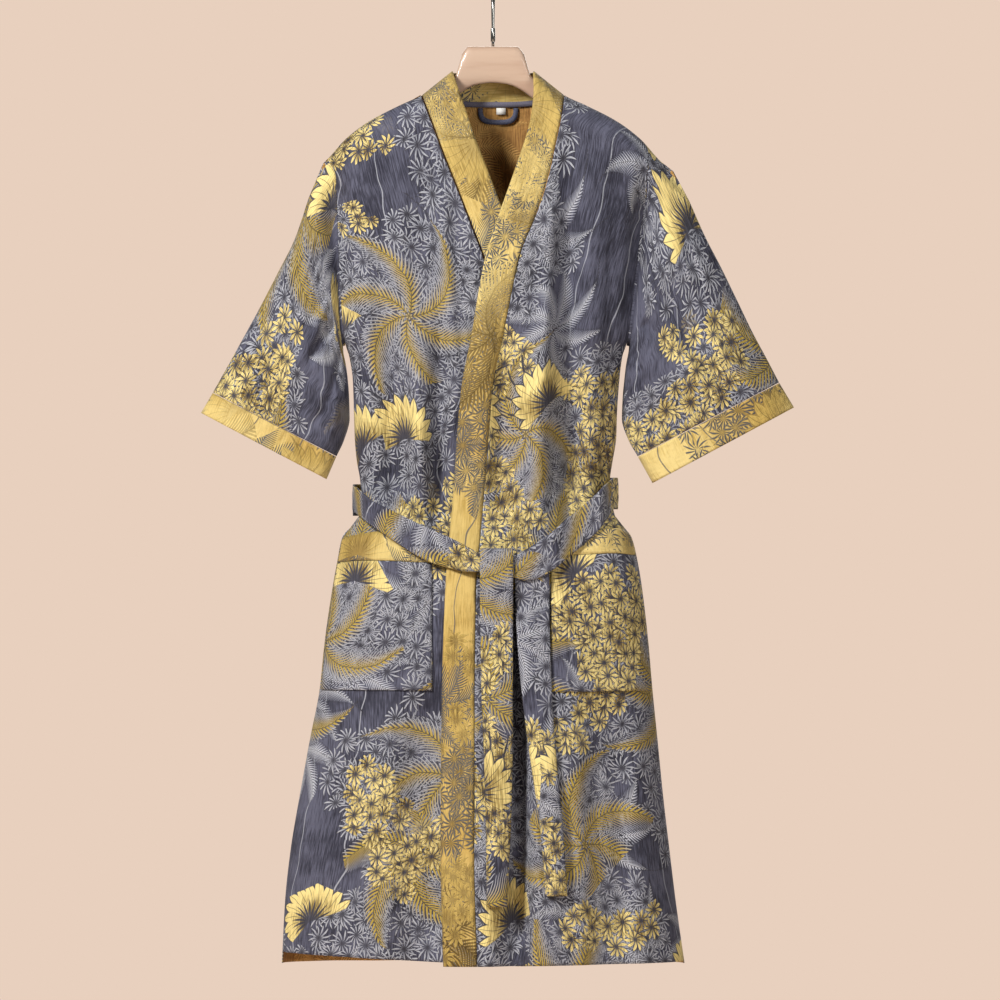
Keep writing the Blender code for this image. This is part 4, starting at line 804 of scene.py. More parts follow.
def sleeve_ring(row: Any, angle: Array, along_sleeve: float) -> Array:
    """One flattened ring of a sleeve, with its top fold at angle 0.

    Args:
        row: One row of the table.
        angle: Angle of each point round the ring.
        along_sleeve: Share of the sleeve's length, 0 at the armhole.

    Returns:
        Points.
    """
    top = np.array([row.top_x, 0, row.top_z])
    under = np.array([row.under_x, 0, row.under_z])
    along = signed_power(np.cos(angle), SLEEVE_POWER)
    out = -signed_power(np.sin(angle), SLEEVE_POWER)
    ripple = 1 + SLEEVE_RIPPLE * np.cos(3 * angle + 60 * row.top_x)
    share = (1 - along) / 2
    rise = np.zeros(len(angle))
    for crease in SLEEVE_CREASES:
        t = (along_sleeve - crease.start) / (crease.end - crease.start)
        fade = step_up(*CREASE_STARTS, t) * (1 - step_up(*CREASE_ENDS, t))
        centre = crease.from_share + (crease.to_share - crease.from_share) * np.clip(t, 0, 1)
        rise += crease.rise * fade * np.exp(-(((share - centre) / crease.width) ** 2))
    rise += CRINKLE * np.sin(60 * share + 5 * np.sin(9 * along_sleeve)) * np.sin(17 * along_sleeve)
    ring = (top + under) / 2 + along[:, None] * (top - under) / 2
    ring[:, 1] = out * row.half_depth * ripple + rise * signed_power(out, 0.5)
    return ring


def outward_normals(grid: Array) -> Array:
    """Unit normals of a front piece's grid, towards the viewer."""
    normal = unit(np.cross(np.gradient(grid, axis=0), np.gradient(grid, axis=1)))
    return np.where(normal[..., 1:2] > 0, -normal, normal)


def pocket_grids(pocket: Pocket, panel: Array) -> tuple[Array, Array]:
    """Outer faces of a pocket's band and of its bag, made from its panel's points moved out.

    Args:
        pocket: The pocket's sizes.
        panel: Grid of the panel that the pocket is sewn to.

    Returns:
        The band's grid and the bag's grid.
    """
    rows = len(CROWN_DROPS) + len(CROWN_TO_LEVEL) + len(UPPER_LEVELS)
    count = len(pocket_rows(pocket))
    line = len(SIDE_SHARES) + SIDE_COLUMNS
    part = panel[rows : rows + count, POCKET_OUTER_COLUMN:line]
    normal = outward_normals(panel)[rows : rows + count, POCKET_OUTER_COLUMN:line]
    from_line = np.abs(part[..., 0] - pocket.inner_x)
    share = from_line / from_line[:, :1]
    down = np.clip((pocket.top - part[..., 2]) / (pocket.top - pocket.foot), 0, 1)
    hump = np.sin(math.pi * share ** (math.log(0.5) / math.log(pocket.gape_at)))
    gape = pocket.gape * np.clip(hump, 0, 1) ** GAPE_POWER * (1 - down) ** GAPE_FADE
    face = part + normal * (PANEL_WALL + TOUCH_GAP + gape)[..., None]
    bag = face[POCKET_BAND_ROWS - 1 :].copy()
    bag[0, :, 2] -= SEAM_GAP
    return face[:POCKET_BAND_ROWS], bag


def points_of(grid: Array) -> Array:
    """All points of a grid as one list of rows of x, y and z."""
    return grid.reshape(-1, 3)


def convex_outline(points: Array) -> Array:
    """Corners of the smallest convex outline round points in a plane, anticlockwise.

    Args:
        points: Points.

    Returns:
        Corners as rows of two numbers.
    """
    ordered = sorted(set(map(tuple, np.round(points, OUTLINE_DECIMALS))))

    def chain(sequence):
        line = []
        for p in sequence:
            while len(line) > 1 and turn(line[-2], line[-1], p) <= 0:
                line.pop()
            line.append(p)
        return line[:-1]

    return np.array(chain(ordered) + chain(ordered[::-1]))


def turn(a: Any, b: Any, c: Any) -> float:
    """Positive when a, b, c turn left."""
    return (b[0] - a[0]) * (c[1] - a[1]) - (b[1] - a[1]) * (c[0] - a[0])


def belt_height(front: Array, x: Numbers) -> Array:
    """Height of the belt's middle over x, in front or behind.

    Args:
        front: True where the belt is in front.
        x: Metres to the right of the middle.

    Returns:
        Heights in metres.
    """
    side = np.where(x > 0, SIDE_HEIGHT_RIGHT, SIDE_HEIGHT_LEFT)
    width = np.where(x > 0, side_width(side, 1), side_width(side, -1))
    away = np.clip(np.abs(x) / width, 0, 1)
    middle = (SIDE_HEIGHT_LEFT + SIDE_HEIGHT_RIGHT) / 2 - BACK_SAG
    return np.where(front, column(BELT_FRONT, "x", "z", x), middle + (side - middle) * away**2)


def belt_grid(layers: Sequence[Array]) -> Array:
    """The belt's loop drawn tight round the layers, with soft pleats where the knot draws it in.

    Args:
        layers: Grids of the pieces under the belt.

    Returns:
        Grid of columns, each from the belt's top edge to its bottom edge.
    """
    under = np.concatenate([points_of(layer) for layer in layers])
    height = belt_height(under[:, 1] < 0, under[:, 0])
    near = np.abs(under[:, 2] - height) < BELT_WIDTH / 2 + BELT_REACH
    corners = convex_outline(under[near, :2])
    ahead = np.roll(corners, -1, 0) - corners
    normal = unit(np.stack([ahead[:, 1], -ahead[:, 0]], 1))
    reach = (normal * corners).sum(1) + BELT_WALL + BELT_GAP
    angle = np.linspace(0, 2 * math.pi, BELT_RAYS)
    ray = np.stack([BELT_ROUND[0] * np.cos(angle), -BELT_ROUND[1] * np.sin(angle)], 1)
    facing = ray @ normal.T
    away = reach / np.maximum(facing, LEAST_FACING)
    scale = np.where(facing > LEAST_FACING, away, np.inf).min(1)
    ring = ray * scale[:, None]
    run = run_along(ring)
    place = np.linspace(0, run[-1], BELT_COLUMNS, endpoint=False)
    x, y = (np.interp(place, run, values) for values in ring.T)
    front = y < -EVEN
    half = np.where(front, column(BELT_FRONT, "x", "width", x), BELT_WIDTH) / 2
    y = y - KNOT_LIFT * (1 - step_up(*KNOT_LIFT_ENDS, np.abs(x - KNOT_LIFT_CENTRE))) * front
    across = np.linspace(1.0, -1.0, BELT_ACROSS)[None, :]
    drawn = (1 - step_up(*PLEAT_ENDS, np.abs(x - KNOT_CENTRE)))[:, None] * front[:, None]
    wave = np.cos(PLEATS * math.pi * across + PLEAT_SLANT * x[:, None]) * (1 - across**4)
    crown = BELT_CROWN * (1 - across**2) + (LEAST_PLEAT + DRAWN_PLEAT * drawn) * (wave + 1) / 2
    length = np.hypot(x, 3 * y)[:, None]
    points_x = x[:, None] * (1 + crown / length)
    points_y = y[:, None] + np.sign(y)[:, None] * crown * np.clip(np.abs(3 * y[:, None]) / length, 0, 1)
    z = belt_height(front, x)[:, None] + half[:, None] * across
    return spread(points_x, points_y, z)


def end_rows(table: Sequence[EndRow], layers: Sequence[Array]) -> tuple[Array, Array, Array, Array, Array]:
    """Rows of a hanging end, each clear of the layers behind it.

    Args:
        table: Rows with named columns.
        layers: Grids of the pieces under the belt.

    Returns:
        Place, height, width, crown and depth of each row.
    """
    cloud = np.concatenate([points_of(layer) for layer in layers])
    below = np.linspace(KNOT_END - END_FIRST_DROP, table[-1].z, END_ROWS - 2)
    z = np.concatenate([[table[0].z, KNOT_END], below])
    x, width, crown = (column(table, "z", name, z) for name in ("x", "width", "crown"))
    clear = []
    for row_x, row_z, row_width in zip(x, z, width):
        near = np.abs(cloud[:, 0] - row_x) < row_width / 2 + END_LOOK_BESIDE
        near &= (np.abs(cloud[:, 2] - row_z) < END_LOOK_UP) & (cloud[:, 1] < 0)
        clear.append(cloud[near, 1].min())
    steps = np.pad(clear, END_SMOOTHED // 2, mode="edge")
    clear = np.convolve(steps, np.ones(END_SMOOTHED) / END_SMOOTHED, mode="valid")
    return x, z, width, crown, clear - BELT_WALL - TOUCH_GAP


def end_grid(x: Numbers, z: Numbers, width: Array, crown: Array, y: Array) -> Array:
    """A hanging belt end: rows down its length, columns across it.

    Args:
        x: Metres to the right of the middle.
        z: Height in metres.
        width: Width at each row.
        crown: How far the middle stands forward at each row.
        y: Depth of each row.

    Returns:
        Grid of points.
    """
    across = np.linspace(-1, 1, END_COLUMNS)[None, :]
    points_x = x[:, None] + width[:, None] / 2 * across
    points_y = y[:, None] - crown[:, None] * (1 - across**2)
    return spread(points_x, points_y, z[:, None])


def held_by_knot(belt: Array, x: Numbers, reach: float) -> Array:
    """The loop's columns across a hanging end."""
    near = np.abs(belt[:, 0, 0] - x) < reach
    return belt[near & (belt[:, 0, 1] < 0)]


def front_end_grid(layers: Sequence[Array], belt: Array) -> Array:
    """The belt's end that comes up behind the loop, folds over it and hangs in front.

    Args:
        layers: Grids of the pieces under the belt.
        belt: Grid of the belt's loop.

    Returns:
        Grid of points.
    """
    x, z, width, crown, clear = end_rows(FRONT_END, layers)
    held = held_by_knot(belt, x[0], width[0] / 2 + END_HELD_BESIDE)
    behind = held[:, 1, 1].max() + 2 * BELT_WALL + TOUCH_GAP
    forward = held[:, 1, 1].min() - BELT_WALL - TOUCH_GAP
    over = held_by_knot(belt, x[0], width[0] / 2 + END_OVER_BESIDE)[:, 0, 2].max()
    under = held[:, 2, 2].min()
    swung = np.minimum(clear, forward + (under - z) * END_SWING)
    y = np.where(z > under - END_FREE_BELOW, forward, swung)
    bend = (behind - forward) / 2
    angle = np.linspace(0, math.pi, FOLD_STEPS)
    fold = [(behind, under + END_TUCKED_UP)]
    fold += [(forward + bend + bend * math.cos(a), over + bend * math.sin(a)) for a in angle]
    fold_y, fold_z = np.array(fold).T
    ones = np.ones(len(fold))
    kept = z < over - END_SEEN_BELOW
    return end_grid(
        np.concatenate([ones * x[0], x[kept]]),
        np.concatenate([fold_z, z[kept]]),
        np.concatenate([ones * width[0], width[kept]]),
        np.concatenate([ones * 0, crown[kept]]),
        np.concatenate([fold_y, y[kept]]),
    )


def back_end_grid(layers: Sequence[Array], belt: Array) -> Array:
    """The belt's end that comes out from under the loop and hangs beside the front one.

    Args:
        layers: Grids of the pieces under the belt.
        belt: Grid of the belt's loop.

    Returns:
        Grid of points.
    """
    x, z, width, crown, clear = end_rows(BACK_END, layers)
    strip = end_grid(x, z, width, crown, clear)
    front = belt[belt[:, 0, 1] < 0, 0, :2]
    front = front[np.argsort(front[:, 0])]
    tucked = z > KNOT_END - END_TUCK_EDGE
    held = np.interp(strip[tucked][..., 0], front[:, 0], front[:, 1])
    strip[tucked, :, 1] = held + BELT_WALL + 2 * TOUCH_GAP
    return strip


def tape_grid() -> Array:
    """Neck tape on the inside of the back neck seam.

    Returns:
        Grid of points.
    """
    x = np.linspace(-TAPE_HALF_WIDTH, TAPE_HALF_WIDTH, TAPE_COLUMNS)[None, :]
    z = np.array([TAPE_TOP, TAPE_FOOT])[:, None]
    rise = neck_height(x) - BACK_NECK_HEIGHT
    return back_point(x, z + rise, BAND_PROUD - BAND_WALL - TAPE_GAP)


def against_back(x: Array, z: Array) -> Array:
    """Points of a flat trim that lies against the inner face of the back."""
    return spread(x, body_depth(x, z, 1).min() - PANEL_WALL - 2 * TOUCH_GAP, z)


def loop_grid() -> Array:
    """Hanging loop inside the back neck, as a flat strip bent to a U.

    Returns:
        Grid of points.
    """
    angle = np.linspace(0, math.pi, LOOP_ROWS)[:, None]
    reach = np.array([0.5, -0.5])[None, :] * LOOP_STRIP
    across = LOOP_HALF_WIDTH - LOOP_STRIP / 2 + reach
    down = LOOP_DROP - LOOP_STRIP / 2 + reach
    x = LOOP_CENTRE_X - across * signed_power(np.cos(angle), LOOP_POWER)
    z = TAPE_FOOT - 2 * TOUCH_GAP - down * np.sin(angle) ** LOOP_POWER
    return against_back(x, z)


def label_grid() -> Array:
    """Blank size label that hangs from the neck tape.

    Returns:
        Grid of points.
    """
    x = LABEL_CENTRE_X + np.array([-0.5, 0.5])[None, :] * LABEL_SIZE[0]
    z = TAPE_FOOT - 2 * TOUCH_GAP - np.array([0.0, 1.0])[:, None] * LABEL_SIZE[1]
    return against_back(x, z)


def hook_path() -> list[tuple[float, float, float]]:
    """Centre points and thicknesses of the hook, up its shank and over its bow.

    Returns:
        Rows of y, z and the wire's radius.
    """
    bow = HOOK_INSIDE_RADIUS + HOOK_BOW_WIRE
    middle = -HOOK_INSIDE_RADIUS
    points = []
    for t in np.linspace(0, 1, SHANK_STEPS):
        z = HOOK_FOOT + (FERRULE_TOP - HOOK_FOOT) * t
        points.append((0.0, z, HOOK_SHANK_WIRE))
    bend_foot = middle - bow - HOOK_BEND_DROP
    first = math.radians(HOOK_TURNS[0])
    first_y, first_z = bow * math.cos(first), middle + bow * math.sin(first)
    for t in np.linspace(*HOOK_BEND):
        wire = HOOK_SHANK_WIRE + (HOOK_BOW_WIRE - HOOK_SHANK_WIRE) * t
        if t < HOOK_BEND_START:
            z = FERRULE_TOP + (bend_foot - FERRULE_TOP) * t / HOOK_BEND_START
            points.append((0.0, z, wire))
            continue
        u = (t - HOOK_BEND_START) / (1 - HOOK_BEND_START)
        y = 3 * u * u * (1 - u) * (first_y * HOOK_BEND_PULL) + u**3 * first_y
        left = (1 - u) ** HOOK_BEND_POWER * (1 - HOOK_BEND_EASE * u)
        z = bend_foot + (first_z - bend_foot) * (1 - left)
        points.append((y, z, wire))
    for degrees in np.linspace(*HOOK_TURNS, HOOK_STEPS):
        a = math.radians(degrees)
        points.append((bow * math.cos(a), middle + bow * math.sin(a), HOOK_BOW_WIRE))
    return points


class Side(Enum):
    """Which side of the robe a piece is on, as seen from its front."""

    LEFT = "left"
    RIGHT = "right"


class Weave(Enum):
    """The two jacquard cloths that the robe is cut from."""

    SLATE = "slate"
    GOLD = "gold"


def rgb(red: int, green: int, blue: int) -> Colour:
    """A colour given in display values from 0 to 255."""
    shares = (red / 255, green / 255, blue / 255)
    return tuple(s / 12.92 if s <= 0.04045 else ((s + 0.055) / 1.055) ** 2.4 for s in shares)


# Grounds of the slate cloth and of its inner face, from the darker to the lighter threads; the inner face's
# ochre ground and leaves are a darker copy of the gold, partly its own colour and partly painted shade of the
# robe's inside
SLATE_GROUND = (rgb(46, 46, 60), rgb(98, 99, 118))
INNER_GROUND_AND_SHADE = (rgb(136, 96, 52), rgb(186, 140, 78))
INNER_LEAF = rgb(222, 176, 104)

# Threads of the gold ground, each from fresh to aged
GOLD_DARK_THREADS = (rgb(206, 174, 92), rgb(166, 134, 66))
GOLD_LIGHT_THREADS = (rgb(238, 214, 142), rgb(208, 174, 96))

# Masks of the print, and the paint of each: how well it covers, its colours and its ramp
PRINT_MASKS = ("Gold", "Pale", "Olive", "Line", "Shade")
Paint = namedtuple("Paint", "mask cover low high start end", defaults=(0.0, 0.0))
PAINTS = {
    Weave.SLATE: (
        Paint("Olive", 0.90, rgb(182, 184, 194), rgb(196, 168, 74), 0.20, 0.75),
        Paint("Pale", 0.92, rgb(126, 130, 148), rgb(222, 224, 232)),
        Paint("Gold", 1.00, rgb(126, 100, 42), rgb(250, 228, 152), 0.25, 0.80),
        Paint("Line", 0.75, rgb(56, 54, 58), rgb(56, 54, 58)),
    ),
    Weave.GOLD: (
        Paint("Olive", 1.00, rgb(136, 110, 52), rgb(84, 66, 32)),
        Paint("Pale", 1.00, rgb(58, 62, 74), rgb(112, 114, 116)),
        Paint("Gold", 0.85, rgb(122, 98, 42), rgb(206, 176, 96), 0.25, 0.80),
        Paint("Line", 0.70, rgb(92, 74, 38), rgb(92, 74, 38)),
    ),
}

# Unevenness of the cloth: stretch, waves in a metre, finer layers and height in metres
Grain = namedtuple("Grain", "stretch scale detail height")
SLUB = Grain((1.0, 0.07, 1.0), 620.0, 3.0, 0.0005)
PUFF = Grain((1.0, 0.45, 1.0), 150.0, 2.0, 0.0019)
CRIMP = Grain((0.28, 1.0, 1.0), 210.0, 1.0, 0.0008)
THREAD_WAVES = {"Scale": 380.0, "Distortion": 1.2, "Detail": 1.0, "Detail Scale": 1.5}
THREAD_HEIGHT = 0.00010
LEAF_HEIGHT = 0.00028
COTTON = {"Roughness": 0.78, "Sheen Weight": 0.06, "Sheen Roughness": 0.5, "Specular IOR Level": 0.3}
COTTON_BUMP = 0.9

# How the threads' unevenness is made up, and between which of its values each ground lightens
SLUB_SHARE = 0.55
PATCHY_SHARE = 0.45
PATCHY_SCALE = 16.0
SLATE_TONE = (0.38, 0.62)
INNER_TONE = (0.35, 0.65)
GOLD_TONE = (0.30, 0.58)
LEAF_TONE = (0.3, 0.7)
INNER_COVER = 0.8
LIT_BY_TONE = 0.5
LIT_BY_SHADE = 0.6

# Where the gold ground is aged: its noise, and half the height over which it deepens
AGED_PLACE = (7.0, 3.0, 0.0)
AGED_SCALE = 5.0
AGED_RAMP = (0.44, 0.60)
DEEPENS_HALF = 0.22
DEEP_KEEPS = 0.5
DEEP_ADDS = 0.7
AGED_LEAVES = (0.8, 0.3)

# How the leaves are drawn: their scatter and turns, soft edges and margin, in cell sizes
SCATTER = 0.8
SWING = 1.6
LEAF_EDGE = 0.010
MARGIN_EDGE = (-0.020, -0.008)
LINE_CORE = 0.4
SPREAD_EDGE = 0.05
BARB_SLANT = -1.1
BARB_LEAST = 0.01
BARB_TOOTH = (1.45, -0.65)
BARB_EDGE = (0.0, 0.3)
BARB_MARGIN = (-0.5, -0.2)

# How the print is laid: its wobble, the thin stems behind the leaves and the clumps' edges
WOBBLE_SCALE = 38.0
WOBBLE = 0.0055
STEM_SPACING = 0.034
STEM_EDGE = (0.0011, 0.0005)
STEM_WAVES = 7.0
STEM_SWAY = 0.09
CLUMP_EDGE = (0.024, 0.026)
CLUMP_CHANCE = 0.05
SHADE_BY_CHANCE = 0.25
SHADE_BY_SHARE = 0.75
COVER_OF_LINES = 0.8


class NodeMaker:
    """Short ways to add shader nodes to one node tree."""

    def __init__(self, tree: bpy.types.NodeTree) -> None:
        """Keeps the tree."""
        self.tree = tree

    def add(self, kind: str, inputs: dict[Any, Any] | None = None, **settings: Any) -> bpy.types.Node:
        """A new node with its settings and inputs.

        Args:
            kind: Type of the node, without its prefix.
            inputs: Values or sockets by input name or number.
            **settings: Values of the node's own properties.

        Returns:
            The node.
        """
        node = self.tree.nodes.new("ShaderNode" + kind)
        for name, value in settings.items():
            setattr(node, name, value)
        self.fill(node, inputs or {})
        return node

    def fill(self, node: bpy.types.Node, inputs: dict[Any, Any]) -> None:
        """Gives a node its inputs.

        Args:
            node: Node that gets them.
            inputs: Values or sockets by input name or number.
        """
        for key, value in inputs.items():
            if isinstance(value, Socket):
                self.tree.links.new(value, node.inputs[key])
            else:
                node.inputs[key].default_value = value

    def math(self, operation: str, *values: Any, clamp: bool = False) -> Socket:
        """Result of a math node."""
        inputs = dict(enumerate(values))
        return self.add("Math", inputs, operation=operation, use_clamp=clamp).outputs[0]

    def plus(self, first: Any, second: Any) -> Socket:
        """Sum of two values."""
        return self.math("ADD", first, second)

    def minus(self, first: Any, second: Any) -> Socket:
        """First value less the second one."""
        return self.math("SUBTRACT", first, second)

    def times(self, first: Any, second: Any) -> Socket:
        """Product of two values."""
        return self.math("MULTIPLY", first, second)

    def times_plus(self, value: Any, factor: Any, shift: Any) -> Socket:
        """Product of a value and a factor, and a shift added to it."""
        return self.math("MULTIPLY_ADD", value, factor, shift)

    def most(self, first: Any, *others: Any) -> Socket:
        """Largest of the values."""
        for other in others:
            first = self.math("MAXIMUM", first, other)
        return first

    def vector(self, operation: str, *values: Any, scale: Any = None) -> Socket:
        """Result of a vector math node.

        Args:
            operation: Name of the operation.
            *values: Vectors or sockets.
            scale: Factor of the SCALE operation.

        Returns:
            The output socket.
        """
        inputs: dict[Any, Any] = dict(enumerate(values))
        if scale is not None:
            inputs["Scale"] = scale
        node = self.add("VectorMath", inputs, operation=operation)
        return node.outputs["Value" if operation in ("LENGTH", "DOT_PRODUCT") else "Vector"]

    def ramp(self, low: float, high: float, value: Any) -> Socket:
        """Smooth step of a value from 0 at low to 1 at high; low may be above high."""
        inputs = {"Value": value, "From Min": low, "From Max": high}
        return self.add("MapRange", inputs, interpolation_type="SMOOTHSTEP").outputs["Result"]

    def noise(self, vector: Any, scale: float, detail: float = 2.0) -> Socket:
        """Value of a noise texture."""
        inputs = {"Vector": vector, "Scale": scale, "Detail": detail}
        return self.add("TexNoise", inputs).outputs["Fac"]

    def mix(self, share: Any, first: Any, second: Any) -> Socket:
        """Colour between two colours, at share 0 the first and at 1 the second."""
        # Inputs 6 and 7 of this node are its two colours
        first, second = ((*c, 1.0) if isinstance(c, tuple) else c for c in (first, second))
        return self.add("Mix", {0: share, 6: first, 7: second}, data_type="RGBA").outputs[2]

    def surface(self, colour: Any, relief: Any, strength: float, values: dict[str, float]) -> None:
        """Gives the tree's surface its colour and its relief.

        Args:
            colour: Colour of the surface.
            relief: Height of the relief, in metres.
            strength: Strength of the relief.
            values: Other values by input name.
        """
        bump = self.add("Bump", {"Height": relief, "Distance": 1.0, "Strength": strength})
        inputs = {"Base Color": colour, "Normal": bump.outputs[0], **values}
        self.fill(self.tree.nodes["Principled BSDF"], inputs)


@dataclass(frozen=True)
class Motif:
    """Leaves set round the middles of scattered cells of the cloth.

    Attributes:
        cell: Cells in a metre.
        leaves: Number of leaves round a middle.
        reach: Length of a leaf, in cell sizes.
        width: Half width of a leaf at its widest, in cell sizes.
        tip: Above 1 the widest place moves out towards the tip.
        spread: Share of the full turn that the leaves take up.
        vein: Half width of the line down a leaf, in cell sizes.
        bend: How far a leaf curves sideways, in radians.
        barbs: Leaflets along a cell size, or 0 for a whole leaf.
    """

    cell: float
    leaves: int
    reach: float
    width: float
    tip: float = 1.25
    spread: float = 1.0
    vein: float = 0.010
    bend: float = 0.35
    barbs: float = 0.0

    def sockets(self, make: NodeMaker, place: Any) -> tuple[Any, ...]:
        """Masks of the motif.

        Args:
            make: Adds the nodes.
            place: Place on the cloth, in metres.

        Returns:
            The leaves, the leaves with a margin, their lines, a random value for each cell, the
            share of the way out along a leaf and the middle of the cell.
        """
        cells = make.add("TexVoronoi", {"Vector": place, "Scale": self.cell, "Randomness": SCATTER},
                         voronoi_dimensions="2D")
        away = make.vector("SCALE", make.vector("SUBTRACT", place, cells.outputs["Position"]),
                           scale=self.cell)
        parts = make.add("SeparateXYZ", {0: away})
        chance = make.add("SeparateColor", {0: cells.outputs["Color"]})
        radius = cells.outputs["Distance"]
        angle = make.math("ARCTAN2", parts.outputs["X"], parts.outputs["Y"])
        swing = make.times_plus(chance.outputs[0], SWING, -SWING / 2)
        turned = make.plus(angle, swing)
        step = 2 * math.pi / self.leaves
        bent = make.times_plus(radius, self.bend / self.reach, turned)
        local = make.math("WRAP", bent, step / 2, -step / 2)
        across = make.times(make.math("ABSOLUTE", local), radius)
        share = make.math("DIVIDE", radius, self.reach, clamp=True)
        hump = make.math("SINE", make.times(make.math("POWER", share, self.tip), math.pi))
        inset = make.minus(make.times(hump, self.width), across)
        leaf = make.ramp(0.0, LEAF_EDGE, inset)
        margin = make.ramp(*MARGIN_EDGE, inset)
        line = make.times(leaf, make.ramp(self.vein, self.vein * LINE_CORE, across))
        if self.barbs:
            slant = make.times_plus(across, BARB_SLANT, radius)
            comb = make.math("SINE", make.times(slant, 2 * math.pi * self.barbs))
            half = make.most(make.times(hump, self.width), BARB_LEAST)
            out = make.math("DIVIDE", across, half, clamp=True)
            tooth = make.minus(comb, make.times_plus(out, *BARB_TOOTH))
            leaf = make.times(leaf, make.most(make.ramp(*BARB_EDGE, tooth), line))
            margin = make.times(margin, make.ramp(*BARB_MARGIN, tooth))
            share = make.minus(1.0, out)
        if self.spread < 1.0:
            edge = math.pi * self.spread
            inside = make.ramp(edge, edge - SPREAD_EDGE, make.math("ABSOLUTE", turned))
            leaf, margin, line = (make.times(m, inside) for m in (leaf, margin, line))
        return leaf, margin, line, chance.outputs[1], share, cells.outputs["Position"]


@dataclass(frozen=True)
class PrintLayer:
    """One motif, kept in soft clumps, in one of the print's colours.

    Attributes:
        motif: Motif that is repeated.
        colour: Name of the mask that it goes into.
        offset: Shift of the motif's cells, in metres.
        level: Noise value above which it shows.
        clumps: Clumps in a metre.
        seed: Place of the clumps in their noise.
    """

    motif: Motif
    colour: str
    offset: tuple[float, float]
    level: float
    clumps: float
    seed: float


STAR = Motif(cell=35.0, leaves=12, reach=0.68, width=0.040, vein=0.006)
ROSETTE = Motif(cell=41.0, leaves=10, reach=0.66, width=0.078, tip=1.5, vein=0.008)
FROND = Motif(cell=5.0, leaves=6, reach=0.70, width=0.150, tip=0.8, vein=0.005, bend=1.2, barbs=40.0)
FEATHER = Motif(cell=7.5, leaves=8, reach=0.66, width=0.120, tip=0.8, vein=0.004, bend=-0.8, barbs=38.0)
FAN = Motif(cell=10.5, leaves=19, reach=0.62, width=0.078, tip=2.1, spread=0.58, vein=0.006)
PRINT_LAYERS = [
    PrintLayer(FEATHER, "Pale", (0.55, 0.31), 0.50, 3.4, 31.3),
    PrintLayer(STAR, "Pale", (0.71, 0.13), 0.46, 5.2, 8.7),
    PrintLayer(STAR, "Pale", (0.19, 0.53), 0.48, 5.2, 8.7),
    PrintLayer(FROND, "Olive", (0.29, 0.11), 0.50, 3.4, 21.9),
    PrintLayer(ROSETTE, "Gold", (0.0, 0.0), 0.58, 5.6, 3.1),
    PrintLayer(ROSETTE, "Gold", (0.37, 0.21), 0.60, 5.6, 3.1),
    PrintLayer(FAN, "Gold", (0.43, 0.67), 0.60, 4.2, 14.3),
]


def leaf_print_group() -> bpy.types.NodeTree:
    """The woven leaf print as a node group, made once.

    Returns:
        A group from a place on the cloth to masks of its leaves, their lines and their shade.
    """
    found = bpy.data.node_groups.get("LeafPrint")
    if found:
        return found
    group = bpy.data.node_groups.new("LeafPrint", "ShaderNodeTree")
    group.interface.new_socket("Place", in_out="INPUT", socket_type="NodeSocketVector")
    for name in PRINT_MASKS:
        group.interface.new_socket(name, in_out="OUTPUT", socket_type="NodeSocketFloat")
    make = NodeMaker(group)
    raw = group.nodes.new("NodeGroupInput").outputs["Place"]
    target = group.nodes.new("NodeGroupOutput")
    wobble = make.add("TexNoise", {"Vector": raw, "Scale": WOBBLE_SCALE, "Detail": 2.0}).outputs["Color"]
    shift = make.vector("SCALE", make.vector("SUBTRACT", wobble, (0.5, 0.5, 0.5)), scale=WOBBLE)
    place = make.vector("ADD", raw, shift)
    sway = make.times(make.noise(raw, STEM_WAVES), STEM_SWAY)
    upright = make.plus(make.add("SeparateXYZ", {0: raw}).outputs["X"], sway)
    from_stem = make.math("ABSOLUTE", make.math("WRAP", upright, STEM_SPACING, -STEM_SPACING))
    stems = make.ramp(*STEM_EDGE, from_stem)
    masks: dict[str, Any] = dict.fromkeys(PRINT_MASKS, 0.0)
    masks.update({"Pale": make.times(stems, COVER_OF_LINES), "Shade": 0.5})
    for layer in PRINT_LAYERS:
        moved = make.vector("ADD", place, (*layer.offset, 0.0))
        leaf, margin, line, chance, share, middle = layer.motif.sockets(make, moved)
        back = (layer.seed - layer.offset[0], -layer.seed - layer.offset[1], layer.seed)
        seeded = make.vector("ADD", middle, back)
        where = make.times_plus(chance, CLUMP_CHANCE, make.noise(seeded, layer.clumps, 1.0))
        patch = make.ramp(layer.level + CLUMP_EDGE[0], layer.level + CLUMP_EDGE[1], where)
        cover = make.times(margin, patch)
        kept = make.minus(1.0, cover)
        masks = {name: make.times(mask, kept) for name, mask in masks.items()}
        masks[layer.colour] = make.times_plus(leaf, patch, masks[layer.colour])
        rim = make.times(make.math("SUBTRACT", margin, leaf, clamp=True), COVER_OF_LINES)
        masks["Line"] = make.times_plus(make.most(line, rim), patch, masks["Line"])
        shade = make.times_plus(chance, SHADE_BY_CHANCE, make.times(share, SHADE_BY_SHARE))
        masks["Shade"] = make.plus(masks["Shade"], make.times(shade, cover))
    for name in PRINT_MASKS:
        group.links.new(masks[name], target.inputs[name])
    return group


